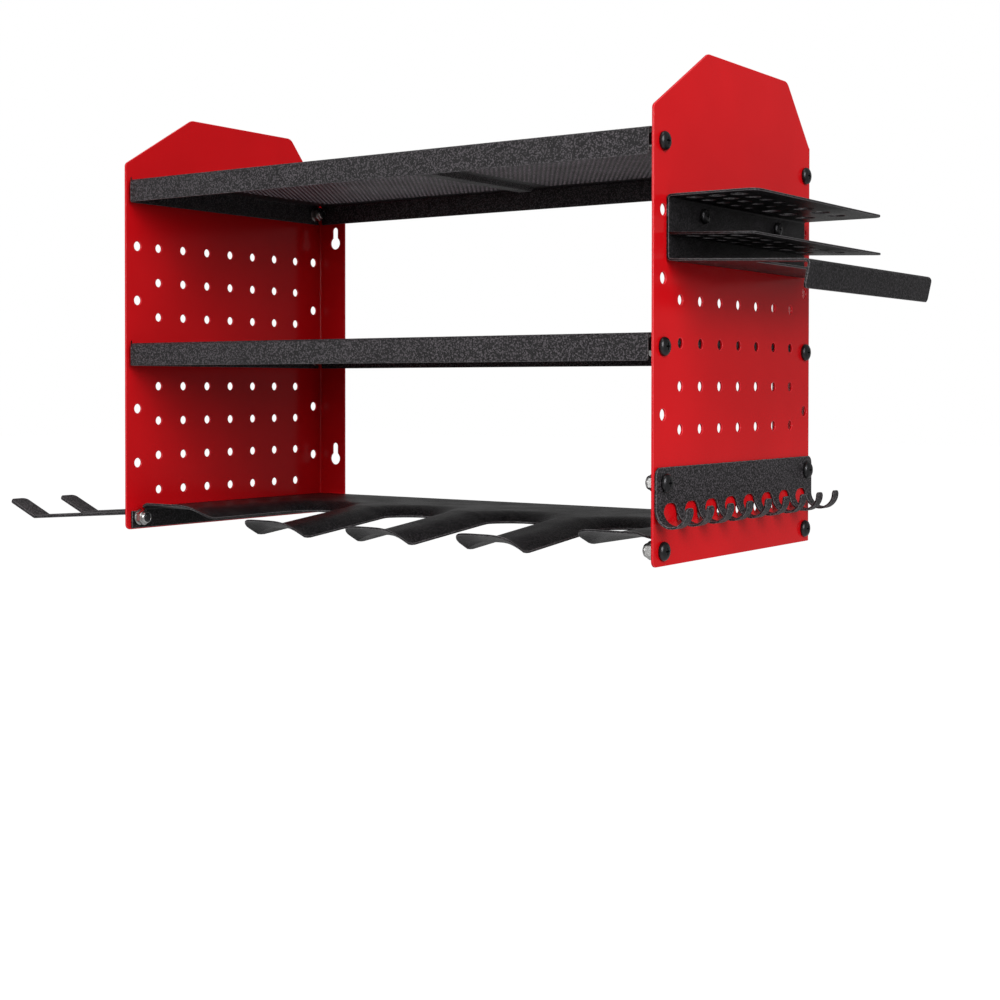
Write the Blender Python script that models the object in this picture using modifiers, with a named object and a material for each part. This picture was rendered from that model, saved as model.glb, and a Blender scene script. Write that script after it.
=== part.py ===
"""Wall mounted power tool organizer, modelled sheet by sheet as it is made.

Two perforated side panels hang on the wall. Two tray shelves and a slotted drill rail are bolted
between them. A bit and pliers rack and a hook rail are bolted outside the right panel, and a
hammer bracket outside the left one. Each sheet piece is drawn as a flat blank with its holes,
creased along its bend lines and folded. Every bolt has its own nut.

The origin is in the wall plane, midway between the panels, at the height where the wall screws
seat in the upper keyholes. +X is to the right of a person facing the rack, +Y goes into the wall.
"""

import math

import bmesh
import bpy
from mathutils import Matrix, Vector

# Rack and side panels
INNER_WIDTH = 0.4435
PANEL_THICKNESS = 0.0015
PANEL_DEPTH = 0.217
PANEL_FRONT_HEIGHT = 0.2695
PANEL_TOP_RISE = 0.0402
FRONT_CHAMFER_DEPTH = 0.0668
REAR_CHAMFER_DEPTH = 0.038
PANEL_CORNER_RADIUS = 0.004
PANEL_CHAMFER_RADIUS = 0.008
FLANGE_WIDTH = 0.028
BEND_RADIUS = 0.0015
CONTACT_GAP = 0.0003

# Keyholes in the rear flanges
SCREW_SEAT_DROP = 0.0335
LOWER_SEAT_HEIGHT = 0.056
KEYHOLE_INSET = 0.0178
KEYHOLE_DIAMETER = 0.010
KEYHOLE_SLOT_WIDTH = 0.0055
KEYHOLE_TRAVEL = 0.0104

# Hole pattern of the side panels
BOLT_HOLE_PLAY = 0.001
BOLT_ROW_HEIGHT = 0.00895
BOLT_ROW_PITCH = 0.04013
FRONT_COLUMN_INSET = 0.0115
GRID_HOLE_DIAMETER = 0.0062
GRID_PITCH = 0.0254
GRID_ROW_PITCH = 0.02584
GRID_FRONT_INSET = 0.0325
GRID_REAR_INSET = 0.030
GRID_ROW_HEIGHT = 0.02835
GRID_TOP_DROP = 0.036

# Shelves
SHELF_THICKNESS = 0.0012
SHELF_LIP = 0.0166
SHELF_NUT_MARGIN = 0.002
SHELF_FRONT_SETBACK = 0.0015
SHELF_CORNER_RADIUS = 0.0012
SHELF_REAR_GAP = 0.0008
SHELF_NUT_CLEARANCE = 0.00053
SHELF_RIB_WIDTH = 0.010
SHELF_RIB_SLOPE = 0.003
SHELF_RIB_DEPTH = 0.004
SHELF_RIB_MARGIN = 0.016
SHELF_OPENING_WIDTH = 0.018
SHELF_OPENING_PITCH = 0.030
SHELF_FIELD_MARGIN = 0.019

# Drill rail
RAIL_THICKNESS = 0.0015
RAIL_NUT_MARGIN = 0.0011
RAIL_FLANGE = 0.0157
RAIL_FLANGE_SETBACK = 0.004
RAIL_TONGUE_SETBACK = 0.007
RAIL_REAR_SETBACK = 0.004
SLOT_COUNT = 4
SLOT_WIDTH = 0.048
OUTER_TONGUE_EXTRA = 0.0145
SLOT_LENGTH = 0.126
TONGUE_CORNER_RADIUS = 0.010
TAB_LENGTH = 0.019
TAB_RISE = 0.0034
SLOT_EDGE_DROP = 0.007
SLOT_EDGE_WIDTH = 0.017
SLOT_EDGE_FADE = 0.024
TONGUE_DROOP = 0.009
DROOP_LENGTH = 0.090

# Bit and pliers rack
RACK_THICKNESS = 0.0015
RACK_FRONT_SETBACK = 0.0145
RACK_REAR_SETBACK = 0.014
RACK_BOLT_MARGIN = 0.0021
RACK_HEIGHT = 0.0395
RACK_TOP_WIDTH = 0.0586
RACK_BOTTOM_WIDTH = 0.0915
RACK_SLOPE = math.radians(2.4)
PLIERS_FLANGE = 0.0165
PLIERS_FLANGE_LEAN = math.radians(12)
PLIERS_GAP_WIDTH = 0.0340
PLIERS_GAP_MARGIN = 0.0115
PLIERS_BAR_WIDTH = 0.0055
RACK_CORNER_RADIUS = 0.003
RACK_TOP_CORNER_RADIUS = 0.008
MIDDLE_PLATE_SETBACK = 0.0013
MIDDLE_PLATE_DROP = 0.0231
BIT_HOLE_LARGEST = 0.010
BIT_HOLE_STEP = 0.001
BIT_ROWS = 5
BIT_COLUMNS = 3
BIT_SIDE_MARGIN = 0.0049
BIT_EDGE_MARGIN = 0.0119
BIT_ROW_PITCH = 0.018
BIT_FRONT_INSET = 0.014
DRIVER_HOLE_DIAMETER = 0.012
DRIVER_ROW_PITCH = 0.025
DRIVER_BIT_SPACE = 0.024
DRIVER_REAR_MARGIN = 0.020
DRIVER_OFFSET_SHARE = 0.75
TIP_HOLE_DIAMETER = 0.003

# Hook rail
HOOK_THICKNESS = 0.0015
HOOK_PLATE_SETBACK = 0.001
HOOK_PLATE_REAR_SETBACK = 0.001
HOOK_PLATE_RISE = 0.0094
HOOK_COUNT = 9
HOOK_WIDTH = 0.0086
HOOK_GAP_TOP_DROP = 0.0215
HOOK_GAP_CORNER_RADIUS = 0.0065
HOOK_STEM_LENGTH = 0.0034
HOOK_RADIUS = 0.0100
HOOK_TIP_LENGTH = 0.0020
HOOK_TIP_RADIUS = 0.0025
HOOK_PLATE_CORNER_RADIUS = 0.005

# Hammer bracket
BRACKET_THICKNESS = 0.0025
BRACKET_SETBACK = 0.004
BRACKET_REAR_SETBACK = 0.003
BRACKET_BOTTOM_HEIGHT = 0.0015
BRACKET_HEIGHT = 0.015
BRACKET_BEND_RADIUS = 0.002
BRACKET_CORNER_RADIUS = 0.004
BRACKET_RELIEF = 0.002
FORK_BOLT_MARGIN = 0.00275
FORK_ARM_WIDTH = 0.016
FORK_GAP_WIDTH = 0.034
FORK_GAP_START = 0.024
FORK_LEVEL_REACH = 0.1275
FORK_TIP_LENGTH = 0.031
FORK_SLOPE = math.radians(4.1)
FORK_TIP_RISE = math.radians(22.3)

# Fasteners
BOLT_DIAMETER = 0.006
BOLT_HEAD_DIAMETER = 0.0115
BOLT_HEAD_HEIGHT = 0.0033
BOLT_RECESS_DIAMETER = 0.0044
BOLT_RECESS_DEPTH = 0.0020
NUT_WIDTH = 0.010
NUT_HEIGHT = 0.008
RACK_BOLT_PLAY = 0.0014
RACK_BOLT_HEAD_DIAMETER = 0.0095
RACK_BOLT_HEAD_HEIGHT = 0.0028
RACK_NUT_WIDTH = 0.008
RACK_NUT_HEIGHT = 0.0065
THREAD_CLEARANCE = 0.0003
BOLT_END_LENGTH = 0.0008

# Facets of the round shapes, and what the cuts need
GRID_HOLE_SIDES = 8
BOLT_SIDES = 10
NUT_SIDES = 6
BIT_HOLE_SIDES = 8
BEND_STEPS = 2
CORNER_STEPS = 3
HOOK_STEPS = 6
CUT_OVERRUN = 0.001
WELD = 1e-7
BOLT_MERGE = 1e-5

# Shares of a bolt head's half width and height, from its crown to its seat
HEAD_DOME_SHARES = ((0.80, 0.86), (1.0, 0.35), (0.97, 0.0))

# Shares of the width over which a slot's edge rolls down
EDGE_ROLL_SHARES = (0, 0.25, 0.55, 1)

# Share of that roll that is left at the very tip of a tongue
TIP_ROLL_SHARE = 0.15

# Worked out from the sizes above: the panels and their bolt holes
HALF_INNER = INNER_WIDTH / 2
HALF_OUTER = HALF_INNER + PANEL_THICKNESS
PANEL_HEIGHT = PANEL_FRONT_HEIGHT + PANEL_TOP_RISE
SCREW_SEAT_HEIGHT = PANEL_FRONT_HEIGHT - SCREW_SEAT_DROP
FRONT = -PANEL_DEPTH
BOTTOM = -SCREW_SEAT_HEIGHT
BOLT_HOLE_DIAMETER = BOLT_DIAMETER + BOLT_HOLE_PLAY
SHELF_REAR_SETBACK = PANEL_THICKNESS + SHELF_REAR_GAP
SHELF_REAR_REACH = SHELF_REAR_SETBACK + SHELF_THICKNESS + SHELF_NUT_CLEARANCE
REAR_COLUMN = PANEL_DEPTH - SHELF_REAR_REACH - NUT_WIDTH / 2 / math.cos(math.pi / NUT_SIDES)
BOLT_COLUMNS = (FRONT_COLUMN_INSET, REAR_COLUMN)
BOLT_ROWS = 1 + int((PANEL_FRONT_HEIGHT - BOLT_ROW_HEIGHT - BOLT_HOLE_DIAMETER) / BOLT_ROW_PITCH)
TOP_ROW = BOLT_ROWS - 1
MIDDLE_ROW = TOP_ROW // 2
RAIL_ROW = 0
HOOK_ROW = 1
TOP_BOLT_HEIGHT = BOLT_ROW_HEIGHT + TOP_ROW * BOLT_ROW_PITCH
GRID_COLUMNS = 1 + int((PANEL_DEPTH - GRID_FRONT_INSET - GRID_REAR_INSET) / GRID_PITCH)
GRID_ROWS = 1 + int((TOP_BOLT_HEIGHT - GRID_TOP_DROP - GRID_ROW_HEIGHT) / GRID_ROW_PITCH)

# Worked out: the places of the shelves, the drill rail and the hammer bracket on their bolts
SHELF_BOLT_DROP = SHELF_THICKNESS + NUT_WIDTH / 2 + SHELF_NUT_MARGIN
RAIL_BOLT_DROP = RAIL_THICKNESS + NUT_WIDTH / 2 + RAIL_NUT_MARGIN
TONGUES_TOGETHER = INNER_WIDTH - SLOT_COUNT * SLOT_WIDTH - 2 * OUTER_TONGUE_EXTRA
SLOT_PITCH = SLOT_WIDTH + TONGUES_TOGETHER / (SLOT_COUNT + 1)
BRACKET_LENGTH = PANEL_DEPTH - BRACKET_SETBACK - BRACKET_REAR_SETBACK
FORK_INSET = FRONT_COLUMN_INSET - BRACKET_SETBACK + BOLT_HEAD_DIAMETER / 2 + FORK_BOLT_MARGIN

# Worked out: the hook rail, and the bit and pliers rack, which hangs on the top row of the hole grid
HOOK_PLATE_LENGTH = PANEL_DEPTH - HOOK_PLATE_SETBACK - HOOK_PLATE_REAR_SETBACK
HOOK_DROP = HOOK_GAP_TOP_DROP + HOOK_STEM_LENGTH
RACK_LENGTH = PANEL_DEPTH - RACK_FRONT_SETBACK - RACK_REAR_SETBACK
RACK_BOLT_DIAMETER = GRID_HOLE_DIAMETER - RACK_BOLT_PLAY
RACK_BOLT_DROP = RACK_THICKNESS + BEND_RADIUS + RACK_BOLT_HEAD_DIAMETER / 2 + RACK_BOLT_MARGIN
RACK_BOLT_GRID_ROW = GRID_ROWS - 1
RACK_BOLT_GRID_COLUMNS = (1, GRID_COLUMNS - 2)
RACK_TOP_HEIGHT = GRID_ROW_HEIGHT + RACK_BOLT_GRID_ROW * GRID_ROW_PITCH + RACK_BOLT_DROP
MIDDLE_PLATE_WIDTH = RACK_TOP_WIDTH - MIDDLE_PLATE_SETBACK
BIT_FIELD_WIDTH = MIDDLE_PLATE_WIDTH - RACK_THICKNESS - BIT_SIDE_MARGIN - BIT_EDGE_MARGIN
BIT_COLUMN_PITCH = (BIT_FIELD_WIDTH - BIT_HOLE_LARGEST) / (BIT_COLUMNS - 1)
DRIVER_FRONT_INSET = BIT_FRONT_INSET + (BIT_ROWS - 1) * BIT_ROW_PITCH + DRIVER_BIT_SPACE
DRIVER_ROWS = 1 + int((RACK_LENGTH - DRIVER_FRONT_INSET - DRIVER_REAR_MARGIN) / DRIVER_ROW_PITCH)


def bolt_row(row):
    return BOLT_ROW_HEIGHT + row * BOLT_ROW_PITCH


def grid_row(row):
    return GRID_ROW_HEIGHT + row * GRID_ROW_PITCH


def grid_column(column):
    return GRID_FRONT_INSET + column * GRID_PITCH


def clear_scene():
    for old in list(bpy.data.objects):
        bpy.data.objects.remove(old, do_unlink=True)


def new_material(name, color, roughness, metallic):
    material = bpy.data.materials.new(name)
    material.use_nodes = True
    shader = material.node_tree.nodes["Principled BSDF"]
    shader.inputs["Base Color"].default_value = (*color, 1)
    shader.inputs["Roughness"].default_value = roughness
    shader.inputs["Metallic"].default_value = metallic
    return material


def arc(centre, radius, start, end, steps):
    """Points along an arc, both ends included; the angles are in degrees."""
    points = []
    for step in range(steps + 1):
        angle = math.radians(start + (end - start) * step / steps)
        points.append((centre[0] + radius * math.cos(angle), centre[1] + radius * math.sin(angle)))
    return points


def circle(centre, diameter, sides):
    """A ring whose flats, not its corners, face the axes."""
    half_side = 180 / sides
    return arc(centre, diameter / 2, half_side, half_side + 360, sides)[:-1]


def rounded(corners, steps=CORNER_STEPS):
    """A closed outline with each corner (x, y, radius) rounded."""
    points = []
    for index, (x, y, radius) in enumerate(corners):
        corner = Vector((x, y))
        before = Vector(corners[index - 1][:2]) - corner
        after = Vector(corners[(index + 1) % len(corners)][:2]) - corner
        if not radius:
            points.append((x, y))
            continue
        half = before.angle(after) / 2
        reach = radius / math.tan(half)
        reach = min(reach, before.length / 2, after.length / 2)
        radius = reach * math.tan(half)
        centre = corner + (before.normalized() + after.normalized()).normalized() * radius / math.sin(half)
        first = corner + before.normalized() * reach - centre
        last = corner + after.normalized() * reach - centre
        turn = first.angle_signed(last)
        for step in range(steps + 1):
            points.append(tuple(centre + Matrix.Rotation(-turn * step / steps, 2) @ first))
    return points


def keyhole(x, seat):
    """A round entry below a slot whose rounded top end seats the screw."""
    half_slot = KEYHOLE_SLOT_WIDTH / 2
    entry = (x, seat - KEYHOLE_TRAVEL)
    opening = math.degrees(math.asin(half_slot / (KEYHOLE_DIAMETER / 2)))
    ring = arc(entry, KEYHOLE_DIAMETER / 2, 90 + opening, 450 - opening, BOLT_SIDES)
    return ring + arc((x, seat), half_slot, 0, 180, BOLT_SIDES // 2)


def flat_blank(name, rings, thickness):
    """A flat plate whose first ring is its outline and whose other rings are its holes."""
    curve = bpy.data.curves.new(name, "CURVE")
    curve.dimensions = "2D"
    curve.fill_mode = "BOTH"
    curve.extrude = thickness / 2
    for ring in rings:
        spline = curve.splines.new("POLY")
        spline.points.add(len(ring) - 1)
        for point, (x, y) in zip(spline.points, ring):
            point.co = (x, y, 0, 1)
        spline.use_cyclic_u = True
    mesh = take_mesh(bpy.data.objects.new(name, curve))
    blank = bmesh.new()
    blank.from_mesh(mesh)
    bmesh.ops.remove_doubles(blank, verts=blank.verts, dist=WELD)
    blank.to_mesh(mesh)
    blank.free()
    return mesh


def take_mesh(source):
    """The mesh of an object with its modifiers; the object itself is removed."""
    bpy.context.scene.collection.objects.link(source)
    graph = bpy.context.evaluated_depsgraph_get()
    mesh = bpy.data.meshes.new_from_object(source.evaluated_get(graph))
    bpy.data.objects.remove(source, do_unlink=True)
    return mesh


def score(sheet, creases):
    """Cuts every face along each (axis, position), so that the sheet can bend there."""
    for axis, position in creases:
        normal = Vector((0, 0, 0))
        normal[axis] = 1
        everything = sheet.verts[:] + sheet.edges[:] + sheet.faces[:]
        bmesh.ops.bisect_plane(
            sheet, geom=everything, dist=WELD, plane_co=normal * position, plane_no=normal
        )


def scored_blank(name, rings, thickness, creases):
    """A flat sheet with its creases scored, then cut to the outline and the holes of its rings."""
    outline = flat_blank(name + "_outline", rings, thickness + 2 * CUT_OVERRUN)
    reach = [[point[axis] for point in rings[0]] for axis in (0, 1)]
    low = [min(values) - CUT_OVERRUN for values in reach]
    high = [max(values) + CUT_OVERRUN for values in reach]
    size = (high[0] - low[0], high[1] - low[1], thickness)
    centre = ((high[0] + low[0]) / 2, (high[1] + low[1]) / 2, 0)
    plate = bmesh.new()
    bmesh.ops.create_cube(plate, size=1, matrix=Matrix.LocRotScale(centre, None, size))
    score(plate, creases)
    mesh = bpy.data.meshes.new(name)
    plate.to_mesh(mesh)
    plate.free()
    sheet = bpy.data.objects.new(name, mesh)
    cutter = bpy.data.objects.new(name + "_outline", outline)
    bpy.context.scene.collection.objects.link(cutter)
    boolean = sheet.modifiers.new("Outline", "BOOLEAN")
    boolean.operation = "INTERSECT"
    boolean.object = cutter
    cut = take_mesh(sheet)
    bpy.data.objects.remove(cutter, do_unlink=True)
    return cut


def folded_sheet(name, rings, thickness, creases, place, location, material):
    """Cuts a blank, creases it at each (axis, position) and moves every point to where place puts it."""
    if creases:
        mesh = scored_blank(name, rings, thickness, creases)
    else:
        mesh = flat_blank(name, rings, thickness)
    sheet = bmesh.new()
    sheet.from_mesh(mesh)
    score(sheet, creases)
    for vertex in sheet.verts:
        vertex.co = place(*vertex.co)
    bmesh.ops.recalc_face_normals(sheet, faces=sheet.faces)
    bmesh.ops.triangulate(sheet, faces=sheet.faces)
    if sheet.calc_volume(signed=True) < 0:
        bmesh.ops.reverse_faces(sheet, faces=sheet.faces)
    sheet.to_mesh(mesh)
    sheet.free()
    return add_piece(name, mesh, location, material)


def add_piece(name, mesh, location, material):
    mesh.materials.clear()
    mesh.materials.append(material)
    piece = bpy.data.objects.new(name, mesh)
    piece.location = location
    PARTS.objects.link(piece)
    return piece


def fold(along, height, bends, heading=0.0):
    """Where a point of a blank lies after folding, for bends (start, middle radius, turn in radians)."""
    place = Vector((0, 0))
    reached = 0.0
    for start, radius, turn in bends:
        if along <= start:
            break
        place += (start - reached) * Vector((math.cos(heading), math.sin(heading)))
        part = min(along - start, radius * abs(turn))
        swing = math.copysign(part / radius, turn)
        side = math.copysign(radius, turn)
        centre = place + side * Vector((-math.sin(heading), math.cos(heading)))
        heading += swing
        place = centre - side * Vector((-math.sin(heading), math.cos(heading)))
        reached = start + part
    place += (along - reached) * Vector((math.cos(heading), math.sin(heading)))
    return place + height * Vector((-math.sin(heading), math.cos(heading)))


def crease_lines(bends, axis, steps=BEND_STEPS):
    """The lines across a blank at which its bends start, step and end."""
    lines = []
    for start, radius, turn in bends:
        length = radius * abs(turn)
        lines += [(axis, start + length * step / steps) for step in range(steps + 1)]
    return lines


def middle_radius(thickness, inside=BEND_RADIUS):
    return inside + thickness / 2


def side_panel(name, side):
    """Web with a hole grid and chamfered top corners; its rear edge is bent inward to a wall flange."""
    radius = middle_radius(PANEL_THICKNESS)
    bend_start = PANEL_DEPTH - PANEL_THICKNESS / 2 - radius
    bends = [(bend_start, radius, math.pi / 2)]
    flange_start = bend_start + radius * math.pi / 2
    edge = flange_start + FLANGE_WIDTH - PANEL_THICKNESS / 2 - radius
    keyhole_line = flange_start + KEYHOLE_INSET - PANEL_THICKNESS / 2 - radius
    corner = PANEL_CORNER_RADIUS
    outline = rounded(
        [
            (0, 0, corner),
            (edge, 0, corner),
            (edge, PANEL_FRONT_HEIGHT, corner),
            (bend_start, PANEL_FRONT_HEIGHT, 0),
            (PANEL_DEPTH - REAR_CHAMFER_DEPTH, PANEL_HEIGHT, PANEL_CHAMFER_RADIUS),
            (FRONT_CHAMFER_DEPTH, PANEL_HEIGHT, PANEL_CHAMFER_RADIUS),
            (0, PANEL_FRONT_HEIGHT, corner),
        ]
    )
    rings = [outline]
    for row in range(BOLT_ROWS):
        for column in BOLT_COLUMNS:
            rings.append(circle((column, bolt_row(row)), BOLT_HOLE_DIAMETER, BOLT_SIDES))
    for row in range(GRID_ROWS):
        for column in range(GRID_COLUMNS):
            rings.append(circle((grid_column(column), grid_row(row)), GRID_HOLE_DIAMETER, GRID_HOLE_SIDES))
    for seat in (SCREW_SEAT_HEIGHT, LOWER_SEAT_HEIGHT):
        rings.append(keyhole(keyhole_line, seat))

    def place(along, up, height):
        back, inward = fold(along, height, bends)
        return (-side * (inward + PANEL_THICKNESS / 2), back, up)

    creases = crease_lines(bends, 0)
    return folded_sheet(
        name, rings, PANEL_THICKNESS, creases, place, (side * HALF_OUTER, FRONT, BOTTOM), RED_GLOSS
    )


def shelf_openings(fold_x, fold_y):
    """A plain grid of square openings on both sides of the rib, in place of fine round holes."""
    rings = []
    near = SHELF_RIB_WIDTH / 2 + SHELF_RIB_SLOPE
    length = fold_x - near - 2 * SHELF_FIELD_MARGIN
    depth = 2 * (fold_y - SHELF_FIELD_MARGIN - SHELF_RIB_SLOPE)
    across = 1 + int((length - SHELF_OPENING_WIDTH) / SHELF_OPENING_PITCH)
    along = 1 + int((depth - SHELF_OPENING_WIDTH) / SHELF_OPENING_PITCH)
    for side in (-1, 1):
        for column in range(across):
            step = (column - (across - 1) / 2) * SHELF_OPENING_PITCH
            x = side * (near + fold_x) / 2 + step
            for row in range(along):
                y = (row - (along - 1) / 2) * SHELF_OPENING_PITCH
                rings.append(circle((x, y), SHELF_OPENING_WIDTH / math.cos(math.pi / 4), 4))
    return rings


def shelf(name, row):
    """A tray turned upside down: flat top with a pressed rib, and a lip folded down on each side."""
    thickness = SHELF_THICKNESS
    radius = middle_radius(thickness)
    turn = radius * math.pi / 2
    half_width = HALF_INNER - CONTACT_GAP
    half_depth = (PANEL_DEPTH - SHELF_FRONT_SETBACK - SHELF_REAR_SETBACK) / 2
    middle = SHELF_FRONT_SETBACK + half_depth
    fold_x = half_width - thickness / 2 - radius
    fold_y = half_depth - thickness / 2 - radius
    lip = turn + SHELF_LIP - thickness / 2 - radius
    end_x = fold_x + lip
    end_y = fold_y + lip
    corner = SHELF_CORNER_RADIUS
    outline = rounded(
        [
            (-end_x, -fold_y, corner),
            (-fold_x, -fold_y, 0),
            (-fold_x, -end_y, corner),
            (fold_x, -end_y, corner),
            (fold_x, -fold_y, 0),
            (end_x, -fold_y, corner),
            (end_x, fold_y, corner),
            (fold_x, fold_y, 0),
            (fold_x, end_y, corner),
            (-fold_x, end_y, corner),
            (-fold_x, fold_y, 0),
            (-end_x, fold_y, corner),
        ]
    )
    hole_x = fold_x + turn + SHELF_BOLT_DROP - thickness / 2 - radius
    rings = [outline]
    for side in (-1, 1):
        for column in BOLT_COLUMNS:
            rings.append(circle((side * hole_x, column - middle), BOLT_HOLE_DIAMETER, BOLT_SIDES))
    rings += shelf_openings(fold_x, fold_y)
    bends_x = [(fold_x, radius, -math.pi / 2)]
    bends_y = [(fold_y, radius, -math.pi / 2)]
    rib_x = SHELF_RIB_WIDTH / 2
    rib_y = fold_y - SHELF_RIB_MARGIN

    def rib(x, y):
        across = (rib_x + SHELF_RIB_SLOPE - abs(x)) / SHELF_RIB_SLOPE
        along = (rib_y + SHELF_RIB_SLOPE - abs(y)) / SHELF_RIB_SLOPE
        return -SHELF_RIB_DEPTH * max(0, min(1, across, along))

    def place(x, y, height):
        out_x, up_x = fold(abs(x), height + rib(x, y), bends_x)
        out_y, up_y = fold(abs(y), height, bends_y)
        up = up_x if abs(y) <= fold_y else up_y
        return (math.copysign(out_x, x), math.copysign(out_y, y), up)

    creases = []
    for axis, bends in ((0, bends_x), (1, bends_y)):
        for _, line in crease_lines(bends, axis):
            creases += [(axis, line), (axis, -line)]
    for side in (-1, 1):
        creases += [(0, side * rib_x), (0, side * (rib_x + SHELF_RIB_SLOPE))]
        creases += [(1, side * rib_y), (1, side * (rib_y + SHELF_RIB_SLOPE))]
    top = BOTTOM + bolt_row(row) + SHELF_BOLT_DROP - thickness / 2
    return folded_sheet(
        name, rings, thickness, creases, place, (0, FRONT + middle, top), BLACK_COAT
    )


def drill_rail():
    """Plate with four open slots for drills; the slot edges roll down and the tongue tips curl up."""
    thickness = RAIL_THICKNESS
    radius = middle_radius(thickness)
    turn = radius * math.pi / 2
    half_width = HALF_INNER - CONTACT_GAP
    fold_x = half_width - thickness / 2 - radius
    flange_x = fold_x + turn
    edge_x = flange_x + RAIL_FLANGE - thickness / 2 - radius
    rear = PANEL_DEPTH - RAIL_REAR_SETBACK
    tip = RAIL_TONGUE_SETBACK
    corner = TONGUE_CORNER_RADIUS
    slot_end = tip + SLOT_LENGTH
    half_slot = SLOT_WIDTH / 2
    centres = [(index - (SLOT_COUNT - 1) / 2) * SLOT_PITCH for index in range(SLOT_COUNT)]
    front = []
    for centre in centres:
        front += rounded_tip(centre - half_slot, tip, corner, -1)
        front += [(centre - half_slot, slot_end - half_slot)]
        front += arc((centre, slot_end - half_slot), half_slot, 180, 0, BOLT_SIDES)[1:-1]
        front += [(centre + half_slot, slot_end - half_slot)]
        front += rounded_tip(centre + half_slot, tip, corner, 1)
    left_corner = arc((-fold_x + corner, tip + corner), corner, 180, 270, CORNER_STEPS)
    right_corner = arc((fold_x - corner, tip + corner), corner, 270, 360, CORNER_STEPS)
    outline = [(-edge_x, RAIL_FLANGE_SETBACK), (-flange_x, RAIL_FLANGE_SETBACK)]
    outline += [(-flange_x, tip + corner)] + left_corner + front + right_corner
    outline += [(flange_x, tip + corner), (flange_x, RAIL_FLANGE_SETBACK), (edge_x, RAIL_FLANGE_SETBACK)]
    outline += [(edge_x, rear), (-edge_x, rear)]
    hole_x = flange_x + RAIL_BOLT_DROP - thickness / 2 - radius
    rings = [outline]
    for side in (-1, 1):
        for column in BOLT_COLUMNS:
            rings.append(circle((side * hole_x, column), BOLT_HOLE_DIAMETER, BOLT_SIDES))
    bends = [(fold_x, radius, -math.pi / 2)]
    tab = tip + TAB_LENGTH

    def press(x, y):
        """How far the pressing lifts or lowers the plate."""
        rise = 0.0
        roll = TIP_ROLL_SHARE + (1 - TIP_ROLL_SHARE) * min(1, (y - tip) / SLOT_EDGE_FADE)
        for centre in centres:
            beside = Vector((x - centre, max(0, y - slot_end + half_slot))).length - half_slot
            share = max(0, 1 - max(0, beside) / SLOT_EDGE_WIDTH)
            rise -= SLOT_EDGE_DROP * share * share * roll
        inner_tongue = abs(x) < centres[-1]
        slope = TONGUE_DROOP / DROOP_LENGTH if inner_tongue else 0.0
        if y < tab + DROOP_LENGTH:
            rise -= slope * (tab + DROOP_LENGTH - max(y, tab))
        if y < tab:
            lift = TAB_RISE / TAB_LENGTH + slope
            rise += lift * (tab - y) * max(0, min(1, (fold_x - abs(x)) / corner))
        return rise

    def place(x, y, height):
        flat = abs(x) <= fold_x
        out, up = fold(abs(x), height, bends)
        return (math.copysign(out, x), y, up + (press(x, y) if flat else 0))

    creases = [(axis, side * line) for side in (-1, 1) for axis, line in crease_lines(bends, 0)]
    creases += [(0, side * (fold_x - corner)) for side in (-1, 1)]
    for centre in centres:
        for side in (-1, 1):
            for share in EDGE_ROLL_SHARES:
                creases.append((0, centre + side * (half_slot + share * SLOT_EDGE_WIDTH)))
    creases += [(1, tip + corner), (1, tab), (1, tip + SLOT_EDGE_FADE)]
    creases += [(1, tab + DROOP_LENGTH), (1, slot_end - half_slot)]
    creases += [(1, slot_end + share * SLOT_EDGE_WIDTH) for share in EDGE_ROLL_SHARES]
    top = BOTTOM + bolt_row(RAIL_ROW) + RAIL_BOLT_DROP - thickness / 2
    return folded_sheet(
        "drill_rail", rings, thickness, creases, place, (0, FRONT, top), BLACK_COAT
    )


def rounded_tip(x, tip, radius, side):
    """The rounded corner of a tongue tip beside the slot edge at x, in drawing order from left to right."""
    centre = (x + side * radius, tip + radius)
    if side < 0:
        return arc(centre, radius, 270, 360, CORNER_STEPS)
    return arc(centre, radius, 180, 270, CORNER_STEPS)


def bit_places():
    """The holes through the rack's top and middle plates: (outward, from its front edge, diameter)."""
    places = []
    centre = CONTACT_GAP + RACK_THICKNESS + BIT_SIDE_MARGIN + BIT_FIELD_WIDTH / 2
    for row in range(BIT_ROWS):
        for column in range(BIT_COLUMNS):
            outward = centre + (column - (BIT_COLUMNS - 1) / 2) * BIT_COLUMN_PITCH
            diameter = BIT_HOLE_LARGEST - row * BIT_HOLE_STEP
            places.append((outward, BIT_FRONT_INSET + row * BIT_ROW_PITCH, diameter))
    for row in range(DRIVER_ROWS):
        for side in (-1, 1):
            outward = centre + side * BIT_COLUMN_PITCH * DRIVER_OFFSET_SHARE
            places.append((outward, DRIVER_FRONT_INSET + row * DRIVER_ROW_PITCH, DRIVER_HOLE_DIAMETER))
    return places


def rack_bolt_places():
    """The two bolts of the rack: (from the panel's front edge, height above the panel's bottom)."""
    return [(grid_column(column), grid_row(RACK_BOLT_GRID_ROW)) for column in RACK_BOLT_GRID_COLUMNS]


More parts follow.
